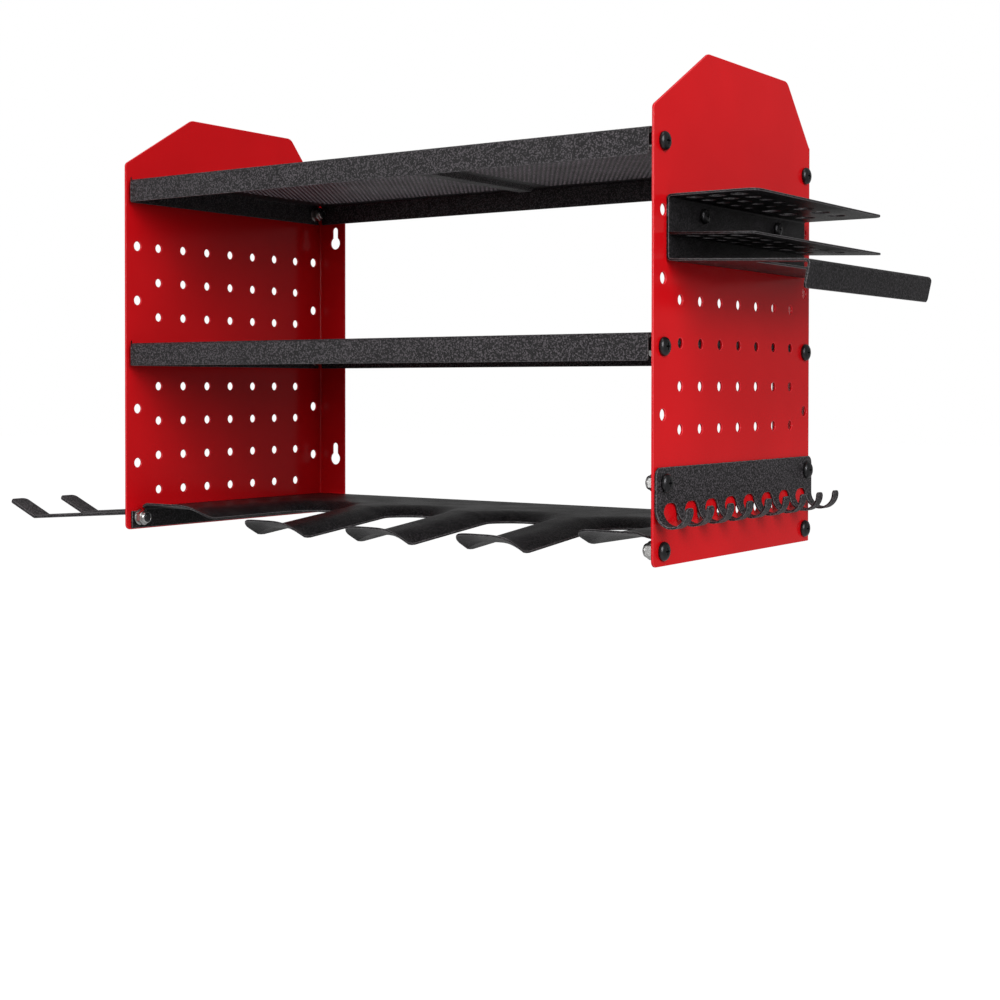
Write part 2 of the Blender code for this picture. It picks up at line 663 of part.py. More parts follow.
def bit_rack():
    """One sheet folded to a C: top plate, back plate, and a bottom plate that also forms the pliers bar."""
    thickness = RACK_THICKNESS
    radius = middle_radius(thickness)
    back = CONTACT_GAP + thickness / 2
    level = thickness / 2 + radius
    top_flat = RACK_TOP_WIDTH - back - radius
    back_flat = RACK_HEIGHT - 2 * level
    turn = math.pi / 2
    lower_turn = turn - RACK_SLOPE
    bar_turn = turn - RACK_SLOPE + PLIERS_FLANGE_LEAN
    back_start = top_flat + radius * turn
    bottom_bend = back_start + back_flat
    bottom_start = bottom_bend + radius * lower_turn
    bottom_flat = (RACK_BOTTOM_WIDTH - level - back - radius) / math.cos(RACK_SLOPE)
    bar_bend = bottom_start + bottom_flat
    edge = bar_bend + radius * bar_turn + PLIERS_FLANGE - level
    bends = [
        (top_flat, radius, turn),
        (bottom_bend, radius, lower_turn),
        (bar_bend, radius, -bar_turn),
    ]
    corner = RACK_CORNER_RADIUS
    top_corner = RACK_TOP_CORNER_RADIUS
    outline = rounded(
        [(0, 0, top_corner), (edge, 0, corner), (edge, RACK_LENGTH, corner), (0, RACK_LENGTH, top_corner)]
    )
    gap_end = bar_bend + level - PLIERS_BAR_WIDTH
    gap_start = gap_end - PLIERS_GAP_WIDTH
    gap = rounded(
        [
            (gap_start, PLIERS_GAP_MARGIN, corner),
            (gap_end, PLIERS_GAP_MARGIN, corner),
            (gap_end, RACK_LENGTH - PLIERS_GAP_MARGIN, corner),
            (gap_start, RACK_LENGTH - PLIERS_GAP_MARGIN, corner),
        ]
    )
    rings = [outline, gap]
    for outward, along, diameter in bit_places():
        rings.append(circle((RACK_TOP_WIDTH - outward, along), diameter, BIT_HOLE_SIDES))
    for row in range(BIT_ROWS):
        tip = bottom_start + BIT_FRONT_INSET
        rings.append(circle((tip, BIT_FRONT_INSET + row * BIT_ROW_PITCH), TIP_HOLE_DIAMETER, GRID_HOLE_SIDES))
    for from_front, height in rack_bolt_places():
        down = back_start + RACK_TOP_HEIGHT - level - height
        hole = circle((down, from_front - RACK_FRONT_SETBACK), GRID_HOLE_DIAMETER, BOLT_SIDES)
        rings.append(hole)

    def place(along, y, height):
        outward, up = fold(along, height, bends, math.pi)
        return (outward + RACK_TOP_WIDTH, y, up - thickness / 2)

    location = (HALF_OUTER, FRONT + RACK_FRONT_SETBACK, BOTTOM + RACK_TOP_HEIGHT)
    return folded_sheet(
        "bit_and_pliers_rack", rings, thickness, crease_lines(bends, 0), place, location, BLACK_COAT
    )


def middle_plate():
    """The plate between the rack's top and bottom, which lines the bits up; it leans out like the bottom."""
    thickness = RACK_THICKNESS
    start = 2 * CONTACT_GAP + thickness
    corner = RACK_CORNER_RADIUS
    outline = rounded(
        [
            (start, 0, 0),
            (MIDDLE_PLATE_WIDTH, 0, corner),
            (MIDDLE_PLATE_WIDTH, RACK_LENGTH, corner),
            (start, RACK_LENGTH, 0),
        ]
    )
    rings = [outline]
    for outward, along, diameter in bit_places():
        rings.append(circle((outward, along), diameter, BIT_HOLE_SIDES))

    def place(outward, y, height):
        return (outward, y, height - outward * math.tan(RACK_SLOPE))

    height = RACK_TOP_HEIGHT - MIDDLE_PLATE_DROP
    location = (HALF_OUTER, FRONT + RACK_FRONT_SETBACK, BOTTOM + height)
    return folded_sheet(
        "bit_rack_middle_plate", rings, thickness, [], place, location, BLACK_COAT
    )


def hook_rail():
    """A plate whose lower edge is cut into fingers, each curled out and up to a hook."""
    thickness = HOOK_THICKNESS
    pitch = (HOOK_PLATE_LENGTH - HOOK_WIDTH) / (HOOK_COUNT - 1)
    bends = [(HOOK_DROP, HOOK_RADIUS, math.pi)]
    tip = HOOK_DROP + HOOK_RADIUS * math.pi + HOOK_TIP_LENGTH
    corners = [(0, 0, HOOK_PLATE_CORNER_RADIUS)]
    for hook in range(HOOK_COUNT):
        start = hook * pitch
        end = start + HOOK_WIDTH
        if hook:
            corners.append((HOOK_GAP_TOP_DROP, start, HOOK_GAP_CORNER_RADIUS))
        corners += [(tip, start, HOOK_TIP_RADIUS), (tip, end, HOOK_TIP_RADIUS)]
        if hook < HOOK_COUNT - 1:
            corners.append((HOOK_GAP_TOP_DROP, end, HOOK_GAP_CORNER_RADIUS))
    corners.append((0, HOOK_PLATE_LENGTH, HOOK_PLATE_CORNER_RADIUS))
    rings = [rounded(corners)]
    for column in BOLT_COLUMNS:
        centre = (HOOK_PLATE_RISE, column - HOOK_PLATE_SETBACK)
        rings.append(circle(centre, BOLT_HOLE_DIAMETER, BOLT_SIDES))

    def place(down, y, height):
        drop, outward = fold(down, height, bends)
        return (outward + thickness / 2, y, -drop)

    top = BOTTOM + bolt_row(HOOK_ROW) + HOOK_PLATE_RISE
    location = (HALF_OUTER + CONTACT_GAP, FRONT + HOOK_PLATE_SETBACK, top)
    creases = crease_lines(bends, 0, HOOK_STEPS)
    return folded_sheet("hook_rail", rings, thickness, creases, place, location, BLACK_COAT)


def hammer_bracket():
    """A bolted base strip with two arms folded out of it; a hammer hangs by its head between them."""
    thickness = BRACKET_THICKNESS
    radius = middle_radius(thickness, BRACKET_BEND_RADIUS)
    first_turn = math.pi / 2 + FORK_SLOPE
    fork_bend = BRACKET_HEIGHT - BRACKET_CORNER_RADIUS - radius - thickness / 2
    arm_start = fork_bend + radius * first_turn
    tip_turn = FORK_SLOPE + FORK_TIP_RISE
    tip_bend = arm_start + FORK_LEVEL_REACH - radius - thickness
    tip = tip_bend + radius * tip_turn + FORK_TIP_LENGTH
    bends = [(fork_bend, radius, -first_turn), (tip_bend, radius, tip_turn)]
    arm = FORK_INSET
    gap = arm + FORK_ARM_WIDTH
    second_arm = gap + FORK_GAP_WIDTH
    fork_end = second_arm + FORK_ARM_WIDTH
    gap_start = arm_start + FORK_GAP_START
    corner = BRACKET_CORNER_RADIUS
    relief = BRACKET_RELIEF
    outline = rounded(
        [
            (0, 0, corner),
            (BRACKET_HEIGHT, 0, corner),
            (BRACKET_HEIGHT, arm - relief, corner),
            (fork_bend, arm - relief, 0),
            (fork_bend, arm, 0),
            (tip, arm, corner),
            (tip, gap, corner),
            (gap_start, gap, FORK_GAP_WIDTH / 2),
            (gap_start, second_arm, FORK_GAP_WIDTH / 2),
            (tip, second_arm, corner),
            (tip, fork_end, corner),
            (fork_bend, fork_end, 0),
            (fork_bend, fork_end + relief, 0),
            (BRACKET_HEIGHT, fork_end + relief, corner),
            (BRACKET_HEIGHT, BRACKET_LENGTH, corner),
            (0, BRACKET_LENGTH, corner),
        ],
        2 * CORNER_STEPS,
    )
    rings = [outline]
    for column in BOLT_COLUMNS:
        centre = (BOLT_ROW_HEIGHT - BRACKET_BOTTOM_HEIGHT, column - BRACKET_SETBACK)
        rings.append(circle(centre, BOLT_HOLE_DIAMETER, BOLT_SIDES))

    def place(along, y, height):
        folded = arm - relief / 2 < y < fork_end + relief / 2
        up, outward = along, -height
        if folded:
            outward, up = fold(along, height, bends, math.pi / 2)
        return (-outward - thickness / 2, y, up)

    location = (-HALF_OUTER - CONTACT_GAP, FRONT + BRACKET_SETBACK, BOTTOM + BRACKET_BOTTOM_HEIGHT)
    return folded_sheet(
        "hammer_bracket", rings, thickness, crease_lines(bends, 0), place, location, BLACK_COAT
    )


def turned_piece(name, profile, location, side, material):
    """A profile of (radius, height) points from the top down, turned about an axis that points outward."""
    mesh = bpy.data.meshes.new(name)
    points = [(radius, 0, height) for radius, height in profile]
    mesh.from_pydata(points, [(index, index + 1) for index in range(len(points) - 1)], [])
    piece = add_piece(name, mesh, location, material)
    piece.rotation_euler = (0, side * math.pi / 2, 0)
    screw = piece.modifiers.new("Turn", "SCREW")
    screw.steps = BOLT_SIDES
    screw.render_steps = BOLT_SIDES
    screw.use_merge_vertices = True
    screw.merge_threshold = BOLT_MERGE
    return piece


def bolt_and_nut(name, side, column, height, outer, inner, sizes):
    """A round head bolt from the outside and its nut inside; outer and inner are the stack's two faces."""
    diameter, head_diameter, head_height, nut_width, nut_height = sizes
    centre = (FRONT + column, BOTTOM + height)
    head_seat = outer + CONTACT_GAP
    end = -(head_seat - inner + CONTACT_GAP + nut_height + BOLT_END_LENGTH)
    recess = BOLT_RECESS_DIAMETER / 2
    profile = [(0, head_height - BOLT_RECESS_DEPTH), (recess, head_height - BOLT_RECESS_DEPTH)]
    profile.append((recess, head_height))
    for across, up in HEAD_DOME_SHARES:
        profile.append((across * head_diameter / 2, up * head_height))
    profile += [(diameter / 2, 0), (diameter / 2, end), (0, end)]
    turned_piece(name + "_bolt", profile, (side * head_seat, *centre), side, BLACK_STEEL)
    nut_middle = inner - CONTACT_GAP - nut_height / 2
    corner_circle = nut_width / math.cos(math.pi / NUT_SIDES)
    rings = [
        arc((0, 0), corner_circle / 2, 0, 360, NUT_SIDES)[:-1],
        circle((0, 0), diameter + 2 * THREAD_CLEARANCE, BOLT_SIDES),
    ]

    def place(x, y, z):
        return (z, x, y)

    location = (side * nut_middle, *centre)
    folded_sheet(name + "_nut", rings, nut_height, [], place, location, ZINC)


def fasteners():
    """Every bolt with its nut, where the pieces' holes line up."""
    large = (BOLT_DIAMETER, BOLT_HEAD_DIAMETER, BOLT_HEAD_HEIGHT, NUT_WIDTH, NUT_HEIGHT)
    small = (
        RACK_BOLT_DIAMETER,
        RACK_BOLT_HEAD_DIAMETER,
        RACK_BOLT_HEAD_HEIGHT,
        RACK_NUT_WIDTH,
        RACK_NUT_HEIGHT,
    )
    shelf_face = HALF_INNER - CONTACT_GAP - SHELF_THICKNESS
    rail_face = HALF_INNER - CONTACT_GAP - RAIL_THICKNESS
    stacks = [("upper_shelf", TOP_ROW, shelf_face), ("middle_shelf", MIDDLE_ROW, shelf_face)]
    stacks.append(("drill_rail", RAIL_ROW, rail_face))
    for side, side_name in ((-1, "left"), (1, "right")):
        for column, end_name in zip(BOLT_COLUMNS, ("front", "rear")):
            for piece, row, inner in stacks:
                outer = HALF_OUTER
                if side < 0 and row == RAIL_ROW:
                    outer += CONTACT_GAP + BRACKET_THICKNESS
                name = f"{piece}_{side_name}_{end_name}"
                bolt_and_nut(name, side, column, bolt_row(row), outer, inner, large)
    for column, end_name in zip(BOLT_COLUMNS, ("front", "rear")):
        outer = HALF_OUTER + CONTACT_GAP + HOOK_THICKNESS
        bolt_and_nut(f"hook_rail_{end_name}", 1, column, bolt_row(HOOK_ROW), outer, HALF_INNER, large)
    for (column, height), end_name in zip(rack_bolt_places(), ("front", "rear")):
        outer = HALF_OUTER + CONTACT_GAP + RACK_THICKNESS
        bolt_and_nut(f"rack_{end_name}", 1, column, height, outer, HALF_INNER, small)


clear_scene()
PARTS = bpy.data.collections.new("wall_tool_organizer")
bpy.context.scene.collection.children.link(PARTS)
RED_GLOSS = new_material("red_gloss_coat", (0.60, 0.012, 0.035), 0.22, 0.0)
BLACK_COAT = new_material("black_wrinkle_coat", (0.035, 0.036, 0.038), 0.55, 0.0)
BLACK_STEEL = new_material("black_steel", (0.03, 0.03, 0.032), 0.35, 0.8)
ZINC = new_material("zinc_plate", (0.62, 0.62, 0.60), 0.3, 1.0)

side_panel("side_panel_left", -1)
side_panel("side_panel_right", 1)
shelf("upper_shelf", TOP_ROW)
shelf("middle_shelf", MIDDLE_ROW)
drill_rail()
bit_rack()
middle_plate()
hook_rail()
hammer_bracket()
fasteners()
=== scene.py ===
"""Looks of a wall mounted power tool organizer: folded sheet pieces, their coats and their bolts.

All sizes are in metres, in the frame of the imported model: the origin is in the wall plane, midway
between the side panels, at the height of the upper wall screws. +Y goes into the wall.
"""

import math

import bmesh
import bpy
import numpy as np
from mathutils import Matrix, Vector
from mathutils.geometry import delaunay_2d_cdt
from mathutils.kdtree import KDTree


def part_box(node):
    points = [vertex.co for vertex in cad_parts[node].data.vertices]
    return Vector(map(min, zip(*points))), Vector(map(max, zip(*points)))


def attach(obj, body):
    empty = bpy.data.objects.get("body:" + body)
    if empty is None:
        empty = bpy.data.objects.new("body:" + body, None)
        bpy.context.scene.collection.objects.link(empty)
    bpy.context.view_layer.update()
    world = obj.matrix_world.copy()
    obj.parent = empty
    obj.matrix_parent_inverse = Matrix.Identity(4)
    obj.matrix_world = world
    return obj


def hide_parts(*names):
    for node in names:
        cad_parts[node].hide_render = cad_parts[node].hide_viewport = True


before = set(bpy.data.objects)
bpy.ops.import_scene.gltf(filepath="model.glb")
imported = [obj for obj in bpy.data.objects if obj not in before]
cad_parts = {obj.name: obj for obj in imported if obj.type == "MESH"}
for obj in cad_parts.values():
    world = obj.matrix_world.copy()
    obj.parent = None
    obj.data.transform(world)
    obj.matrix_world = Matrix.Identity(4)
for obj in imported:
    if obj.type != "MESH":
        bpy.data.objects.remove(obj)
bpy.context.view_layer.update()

# Side panels
# Two sheets of 1.5 mm steel with a punched hole grid. The rear edge of each is bent inward to a
# wall flange with two keyholes. Both are coated in a glossy, slightly rippled red powder coat.
PANEL_SHEET = 0.0015
PANEL_FRONT_HEIGHT = 0.2695
FRONT_CHAMFER_DEPTH = 0.0668
REAR_CHAMFER_DEPTH = 0.038
PANEL_CORNER_RADIUS = 0.004
PANEL_CHAMFER_RADIUS = 0.008
FLANGE_WIDTH = 0.028
BEND_RADIUS = 0.0015
CONTACT_GAP = 0.0003
LOWER_SEAT_HEIGHT = 0.056
KEYHOLE_INSET = 0.0178
KEYHOLE_DIAMETER = 0.010
KEYHOLE_SLOT_WIDTH = 0.0055
KEYHOLE_TRAVEL = 0.0104
BOLT_HOLE_DIAMETER = 0.007
BOLT_ROW_HEIGHT = 0.00895
BOLT_ROW_PITCH = 0.04013
BOLT_ROWS = 7
FRONT_COLUMN_INSET = 0.0115
REAR_COLUMN_INSET = 0.0098
GRID_HOLE_DIAMETER = 0.0062
GRID_PITCH = 0.0254
GRID_ROW_PITCH = 0.02584
GRID_FRONT_INSET = 0.0325
GRID_ROW_HEIGHT = 0.02835
GRID_COLUMNS = 7
GRID_ROWS = 8
PANEL_EDGE_ROUND = 0.0003
HOLE_SIDES = 36
CORNER_STEPS = 8
BEND_STEPS = 6
EDGE_SEGMENTS = 2
EDGE_THIN_COAT_AND_HIGHLIGHT = 1
PORE_WALL_LIGHT_SLOT = 2
SHARP_TURN = math.radians(35)
CREASE_OVERRUN = 0.01
RIM_WIDTH_SHARE = 2.0
WELD = 1e-7

panel_low, panel_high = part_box("side_panel_right")
PANEL_FACE = panel_high.x
PANEL_INNER_FACE = PANEL_FACE - PANEL_SHEET
FRONT = panel_low.y
BOTTOM = panel_low.z
PANEL_DEPTH = panel_high.y - panel_low.y
PANEL_HEIGHT = panel_high.z - panel_low.z
UPPER_SEAT_HEIGHT = -BOTTOM
BOLT_COLUMNS = (FRONT_COLUMN_INSET, PANEL_DEPTH - REAR_COLUMN_INSET)


def arc(centre, radius, start, end, steps):
    """Points along an arc, both ends included; the angles are in degrees."""
    points = []
    for step in range(steps + 1):
        angle = math.radians(start + (end - start) * step / steps)
        points.append((centre[0] + radius * math.cos(angle), centre[1] + radius * math.sin(angle)))
    return points


def round_hole(centre, diameter, sides=HOLE_SIDES):
    return arc(centre, diameter / 2, 0, 360, sides)[:-1]


def rounded(corners, steps=CORNER_STEPS):
    """A closed outline with each corner (x, y, radius) rounded."""
    points = []
    for index, (x, y, radius) in enumerate(corners):
        corner = Vector((x, y))
        before = Vector(corners[index - 1][:2]) - corner
        after = Vector(corners[(index + 1) % len(corners)][:2]) - corner
        if not radius:
            points.append((x, y))
            continue
        half = before.angle(after) / 2
        reach = min(radius / math.tan(half), before.length / 2, after.length / 2)
        radius = reach * math.tan(half)
        centre = corner + (before.normalized() + after.normalized()).normalized() * radius / math.sin(half)
        first = corner + before.normalized() * reach - centre
        last = corner + after.normalized() * reach - centre
        turn = first.angle_signed(last)
        for step in range(steps + 1):
            points.append(tuple(centre + Matrix.Rotation(-turn * step / steps, 2) @ first))
    return points


def fold(along, height, bends, heading=0.0):
    """Where a point of a blank lies after folding, for bends (start, middle radius, turn in radians)."""
    x, y, reached = 0.0, 0.0, 0.0
    for start, radius, turn in bends:
        if along <= start:
            break
        x += (start - reached) * math.cos(heading)
        y += (start - reached) * math.sin(heading)
        part = min(along - start, radius * abs(turn))
        side = math.copysign(radius, turn)
        x -= side * math.sin(heading)
        y += side * math.cos(heading)
        heading += math.copysign(part / radius, turn)
        x += side * math.sin(heading)
        y -= side * math.cos(heading)
        reached = start + part
    x += (along - reached) * math.cos(heading)
    y += (along - reached) * math.sin(heading)
    return x - height * math.sin(heading), y + height * math.cos(heading)


def crease_lines(bends, axis, steps=BEND_STEPS):
    """The lines across a blank at which its bends start, step and end."""
    lines = []
    for start, radius, turn in bends:
        length = radius * abs(turn)
        lines += [(axis, start + length * step / steps) for step in range(steps + 1)]
    return lines


def middle_radius(thickness, inner=BEND_RADIUS):
    return inner + thickness / 2


def inside(places, ring):
    """Which of these flat places lie inside a closed ring."""
    x, y = places[:, 0, None], places[:, 1, None]
    start = np.array(ring)
    end = np.roll(start, -1, axis=0)
    crosses = (start[:, 1] > y) != (end[:, 1] > y)
    rise = np.where(end[:, 1] == start[:, 1], 1, end[:, 1] - start[:, 1])
    at = start[:, 0] + (y - start[:, 1]) * (end[:, 0] - start[:, 0]) / rise
    return np.logical_xor.reduce(crosses & (x < at), axis=1)


def beside(ring, distance):
    """A ring that runs along another at this distance, inside it where the distance is positive.

    Such rings keep the triangles at a sheet's edges short, so that rounding an edge has room.
    """
    points = np.array(ring)
    points = points[np.linalg.norm(np.roll(points, -1, axis=0) - points, axis=1) > WELD]
    ahead = np.roll(points, -1, axis=0) - points
    ahead /= np.linalg.norm(ahead, axis=1)[:, None]
    behind = np.roll(ahead, 1, axis=0)
    middle = ahead + behind
    mitre = np.column_stack([-middle[:, 1], middle[:, 0]]) / (1 + (ahead * behind).sum(axis=1))[:, None]
    area = np.cross(points, np.roll(points, -1, axis=0)).sum()
    return [tuple(point) for point in points + math.copysign(distance, distance * area) * mitre]


def distance_to_pores(pores):
    """A function that gives the distance from a flat place to the nearest pore's centre."""
    tree = KDTree(len(pores))
    for index, centre in enumerate(pores):
        tree.insert((*centre, 0), index)
    tree.balance()
    return lambda x, y: tree.find((x, y, 0))[2]


def cut_blank(rings, creases, pores, pore_diameter, pore_sides, rim_width):
    """Flat points and triangles of a blank with its creases; rings after the first are its holes."""
    points, edges = [], []
    pore_rings = [round_hole(centre, pore_diameter, pore_sides) for centre in pores]
    rims = [beside(rings[0], rim_width)] + [beside(ring, -rim_width) for ring in rings[1:]]
    for ring in rings + rims + pore_rings:
        first = len(points)
        points += ring
        edges += [(first + step, first + (step + 1) % len(ring)) for step in range(len(ring))]
    low = np.min(rings[0], axis=0) - CREASE_OVERRUN
    high = np.max(rings[0], axis=0) + CREASE_OVERRUN
    for axis, position in creases:
        ends = [low.copy(), high.copy()]
        for end in ends:
            end[axis] = position
        edges.append((len(points), len(points) + 1))
        points += [tuple(end) for end in ends]
    found = delaunay_2d_cdt([Vector(point) for point in points], edges, [], 0, WELD, False)
    flat = np.array([point[:] for point in found[0]])
    triangles = np.array(found[2])
    middle = flat[triangles].mean(axis=1)
    keep = inside(middle, rings[0])
    for ring in rings[1:]:
        keep &= ~inside(middle, ring)
    if pores:
        from_pore = distance_to_pores(pores)
        apothem = pore_diameter / 2 * math.cos(math.pi / pore_sides)
        keep &= np.array([from_pore(x, y) > apothem for x, y in middle])
    triangles = triangles[keep]
    first, second, third = (flat[triangles[:, corner]] for corner in range(3))
    along, across = second - first, third - first
    backward = along[:, 0] * across[:, 1] < along[:, 1] * across[:, 0]
    triangles[backward] = triangles[backward][:, ::-1]
    used, triangles = np.unique(triangles, return_inverse=True)
    return flat[used], triangles.reshape(-1, 3)


def edge_numbers(pairs, count):
    """One number for each pair out of this many vertices, the same whichever of the two comes first."""
    low, high = np.sort(pairs, axis=1).astype(np.int64).T
    return low * count + high


def enclosed_volume(places, triangles):
    """The volume inside a closed mesh, times six; below zero where its faces look inward."""
    first, second, third = (np.array(places)[triangles[:, corner]] for corner in range(3))
    return np.einsum("ij,ij->", first, np.cross(second, third))


def round_edges(sheet, edge_round):
    """Rounds the edges that carry a bevel weight and keeps the faces beside them flat in shading."""
    bevel = sheet.modifiers.new("Coated edge", "BEVEL")
    bevel.limit_method = "WEIGHT"
    bevel.width = edge_round
    bevel.segments = EDGE_SEGMENTS
    bevel.use_clamp_overlap = False
    # The rounded edges take the lighter edge material: thin coat and painted highlight.
    bevel.material = EDGE_THIN_COAT_AND_HIGHLIGHT
    bevel.face_strength_mode = "FSTR_ALL"
    smooth = sheet.modifiers.new("Flat faces", "WEIGHTED_NORMAL")
    smooth.keep_sharp = True
    smooth.use_face_influence = True


def folded_sheet(
    name, rings, thickness, creases, place, edge_round, pores=(), pore_diameter=0, pore_sides=8
):
    """A sheet cut, creased and folded, with rounded edges; place moves (x, y, height) to the frame.

    The walls of its pores stay sharp and take a material of their own, painted pale as a painted
    highlight.
    """
    rim_width = RIM_WIDTH_SHARE * edge_round
    flat, triangles = cut_blank(rings, creases, list(pores), pore_diameter, pore_sides, rim_width)
    count = len(flat)
    sides = np.concatenate([triangles[:, [0, 1]], triangles[:, [1, 2]], triangles[:, [2, 0]]])
    forward = sides[:, 0] * count + sides[:, 1]
    border = sides[~np.isin(forward, sides[:, 1] * count + sides[:, 0])]
    start, end = border.T
    walls = np.column_stack([end, start, start + count, end + count])
    places = [place(x, y, thickness / 2) for x, y in flat]
    places += [place(x, y, -thickness / 2) for x, y in flat]
    faces = triangles.tolist() + (triangles[:, ::-1] + count).tolist() + walls.tolist()
    mesh = bpy.data.meshes.new(name)
    mesh.from_pydata(places, [], faces)
    halved = [walls[:, [0, 1, 2]], walls[:, [0, 2, 3]]]
    if enclosed_volume(places, np.concatenate([triangles, triangles[:, ::-1] + count, *halved])) < 0:
        mesh.flip_normals()
    mesh.shade_smooth()
    mesh.set_sharp_from_angle(angle=SHARP_TURN)
    pairs = np.empty(2 * len(mesh.edges), np.int32)
    mesh.edges.foreach_get("vertices", pairs)
    rim = np.ones(len(border), bool)
    if pores:
        from_pore = distance_to_pores(pores)
        middle = (flat[start] + flat[end]) / 2
        rim = np.array([from_pore(x, y) > pore_diameter for x, y in middle])
        # Pore walls take the pale pore wall material, a painted highlight.
        coats = np.concatenate([np.zeros(2 * len(triangles), np.int32), np.where(rim, 0, PORE_WALL_LIGHT_SLOT)])
        mesh.attributes.new("material_index", "INT", "FACE")
        mesh.attributes["material_index"].data.foreach_set("value", coats)
    rim = edge_numbers(np.concatenate([border[rim], border[rim] + count]), 2 * count)
    rounded_edges = np.isin(edge_numbers(pairs.reshape(-1, 2), 2 * count), rim)
    weights = mesh.attributes.new("bevel_weight_edge", "FLOAT", "EDGE")
    weights.data.foreach_set("value", rounded_edges.astype(np.float32))
    sharp = np.empty(len(mesh.edges), bool)
    mesh.attributes["sharp_edge"].data.foreach_get("value", sharp)
    mesh.attributes["sharp_edge"].data.foreach_set("value", sharp & ~rounded_edges)
    sheet = bpy.data.objects.new(name, mesh)
    bpy.context.scene.collection.objects.link(sheet)
    round_edges(sheet, edge_round)
    return sheet


def add_node(tree, kind, inputs=(), **settings):
    """A shader node with its settings; an input is linked if its value is a socket."""
    node = tree.nodes.new(kind)
    for key, value in settings.items():
        setattr(node, key, value)
    for key, value in dict(inputs).items():
        if isinstance(value, bpy.types.NodeSocket):
            tree.links.new(value, node.inputs[key])
        else:
            node.inputs[key].default_value = value
    return node


def math_node(tree, operation, first, second):
    return add_node(tree, "ShaderNodeMath", {0: first, 1: second}, operation=operation).outputs[0]


def spread(tree, value, low, high, to_low=0.0, to_high=1.0):
    """Stretches a value from one span to another, held at both ends."""
    inputs = {"Value": value, "From Min": low, "From Max": high, "To Min": to_low, "To Max": to_high}
    return add_node(tree, "ShaderNodeMapRange", inputs).outputs["Result"]


def new_group(name, inputs, outputs):
    """An empty node group with these value inputs and outputs."""
    group = bpy.data.node_groups.new(name, "ShaderNodeTree")
    for label, value in inputs.items():
        socket = group.interface.new_socket(label, in_out="INPUT", socket_type="NodeSocketFloat")
        socket.default_value = value
    for label in outputs:
        group.interface.new_socket(label, in_out="OUTPUT", socket_type="NodeSocketFloat")
    return group, add_node(group, "NodeGroupInput"), add_node(group, "NodeGroupOutput")


def noise(tree, places, scale, detail=2.0, roughness=0.5):
    inputs = {"Vector": places, "Scale": scale, "Detail": detail, "Roughness": roughness}
    return add_node(tree, "ShaderNodeTexNoise", inputs).outputs["Fac"]


TONE_PATCHES_PER_METRE = 9.0
HAZE_PATCHES_PER_METRE = 34.0


def coat_film_group():
    """How a sprayed and baked coat varies: fine ripple, slow changes of tone, and hazy patches."""
    group, start, end = new_group(
        "coat_film", {"Ripple per metre": 420.0}, ("Height", "Tone", "Haze")
    )
    places = add_node(group, "ShaderNodeTexCoord").outputs["Object"]
    ripple = noise(group, places, start.outputs["Ripple per metre"], detail=3.0, roughness=0.45)
    tone = noise(group, places, TONE_PATCHES_PER_METRE, detail=3.0)
    tone = spread(group, tone, low=0.3, high=0.7)
    haze = noise(group, places, HAZE_PATCHES_PER_METRE, detail=5.0, roughness=0.62)
    haze = spread(group, haze, low=0.36, high=0.66)
    group.links.new(ripple, end.inputs["Height"])
    group.links.new(tone, end.inputs["Tone"])
    group.links.new(haze, end.inputs["Haze"])
    return group


def settled_dust_group():
    """Where dust settles: thinly and in patches, on faces that look up."""
    group, start, end = new_group("settled_dust", {"Patches per metre": 70.0}, ("Mask",))
    places = add_node(group, "ShaderNodeTexCoord").outputs["Object"]
    normal = add_node(group, "ShaderNodeNewGeometry").outputs["Normal"]
    up = add_node(group, "ShaderNodeSeparateXYZ", {"Vector": normal}).outputs["Z"]
    facing = spread(group, up, low=0.5, high=1.0)
    patches = noise(group, places, start.outputs["Patches per metre"], detail=6.0, roughness=0.7)
    patches = spread(group, patches, low=0.45, high=0.75)
    group.links.new(math_node(group, "MULTIPLY", facing, patches), end.inputs["Mask"])
    return group


COAT_FILM = coat_film_group()
SETTLED_DUST = settled_dust_group()
DUST_COLOR = (0.30, 0.28, 0.26, 1)
DUST_SHARE = 0.05
RED_GLOSS_LEVEL = 0.13
RED_RELIEF = 0.000012


def use_group(tree, group, inputs=()):
    node = add_node(tree, "ShaderNodeGroup", node_tree=group)
    for key, value in dict(inputs).items():
        node.inputs[key].default_value = value
    return node.outputs


def mix_color(tree, share, first, second):
    """A blend of two colours; the Mix node's colour sockets are numbers 6 and 7, and its result 2."""
    node = add_node(tree, "ShaderNodeMix", data_type="RGBA")
    for index, value in ((0, share), (6, first), (7, second)):
        if isinstance(value, bpy.types.NodeSocket):
            tree.links.new(value, node.inputs[index])
        else:
            node.inputs[index].default_value = value
    return node.outputs[2]


def new_material(name, **values):
    """A material whose Principled shader takes these values on its own sockets."""
    material = bpy.data.materials.new(name)
    material.use_nodes = True
    tree = material.node_tree
    shader = tree.nodes["Principled BSDF"]
    for label, value in values.items():
        shader.inputs[label.replace("_", " ")].default_value = value
    return material, tree, shader


def red_gloss_coat(name, deep, bright, smoothest, dullest):
    """A glossy red coat between two tones, with a faint ripple and a little dust."""
    material, tree, shader = new_material(name)
    film = use_group(tree, COAT_FILM)
    dust = use_group(tree, SETTLED_DUST)["Mask"]
    shader.inputs["Specular IOR Level"].default_value = RED_GLOSS_LEVEL
    color = mix_color(tree, film["Tone"], deep, bright)
    color = mix_color(tree, math_node(tree, "MULTIPLY", dust, DUST_SHARE), color, DUST_COLOR)
    tree.links.new(color, shader.inputs["Base Color"])
    tree.links.new(spread(tree, film["Haze"], 0, 1, smoothest, dullest), shader.inputs["Roughness"])
    bump = add_node(tree, "ShaderNodeBump", {"Height": film["Height"], "Distance": RED_RELIEF})
    tree.links.new(bump.outputs["Normal"], shader.inputs["Normal"])
    return material


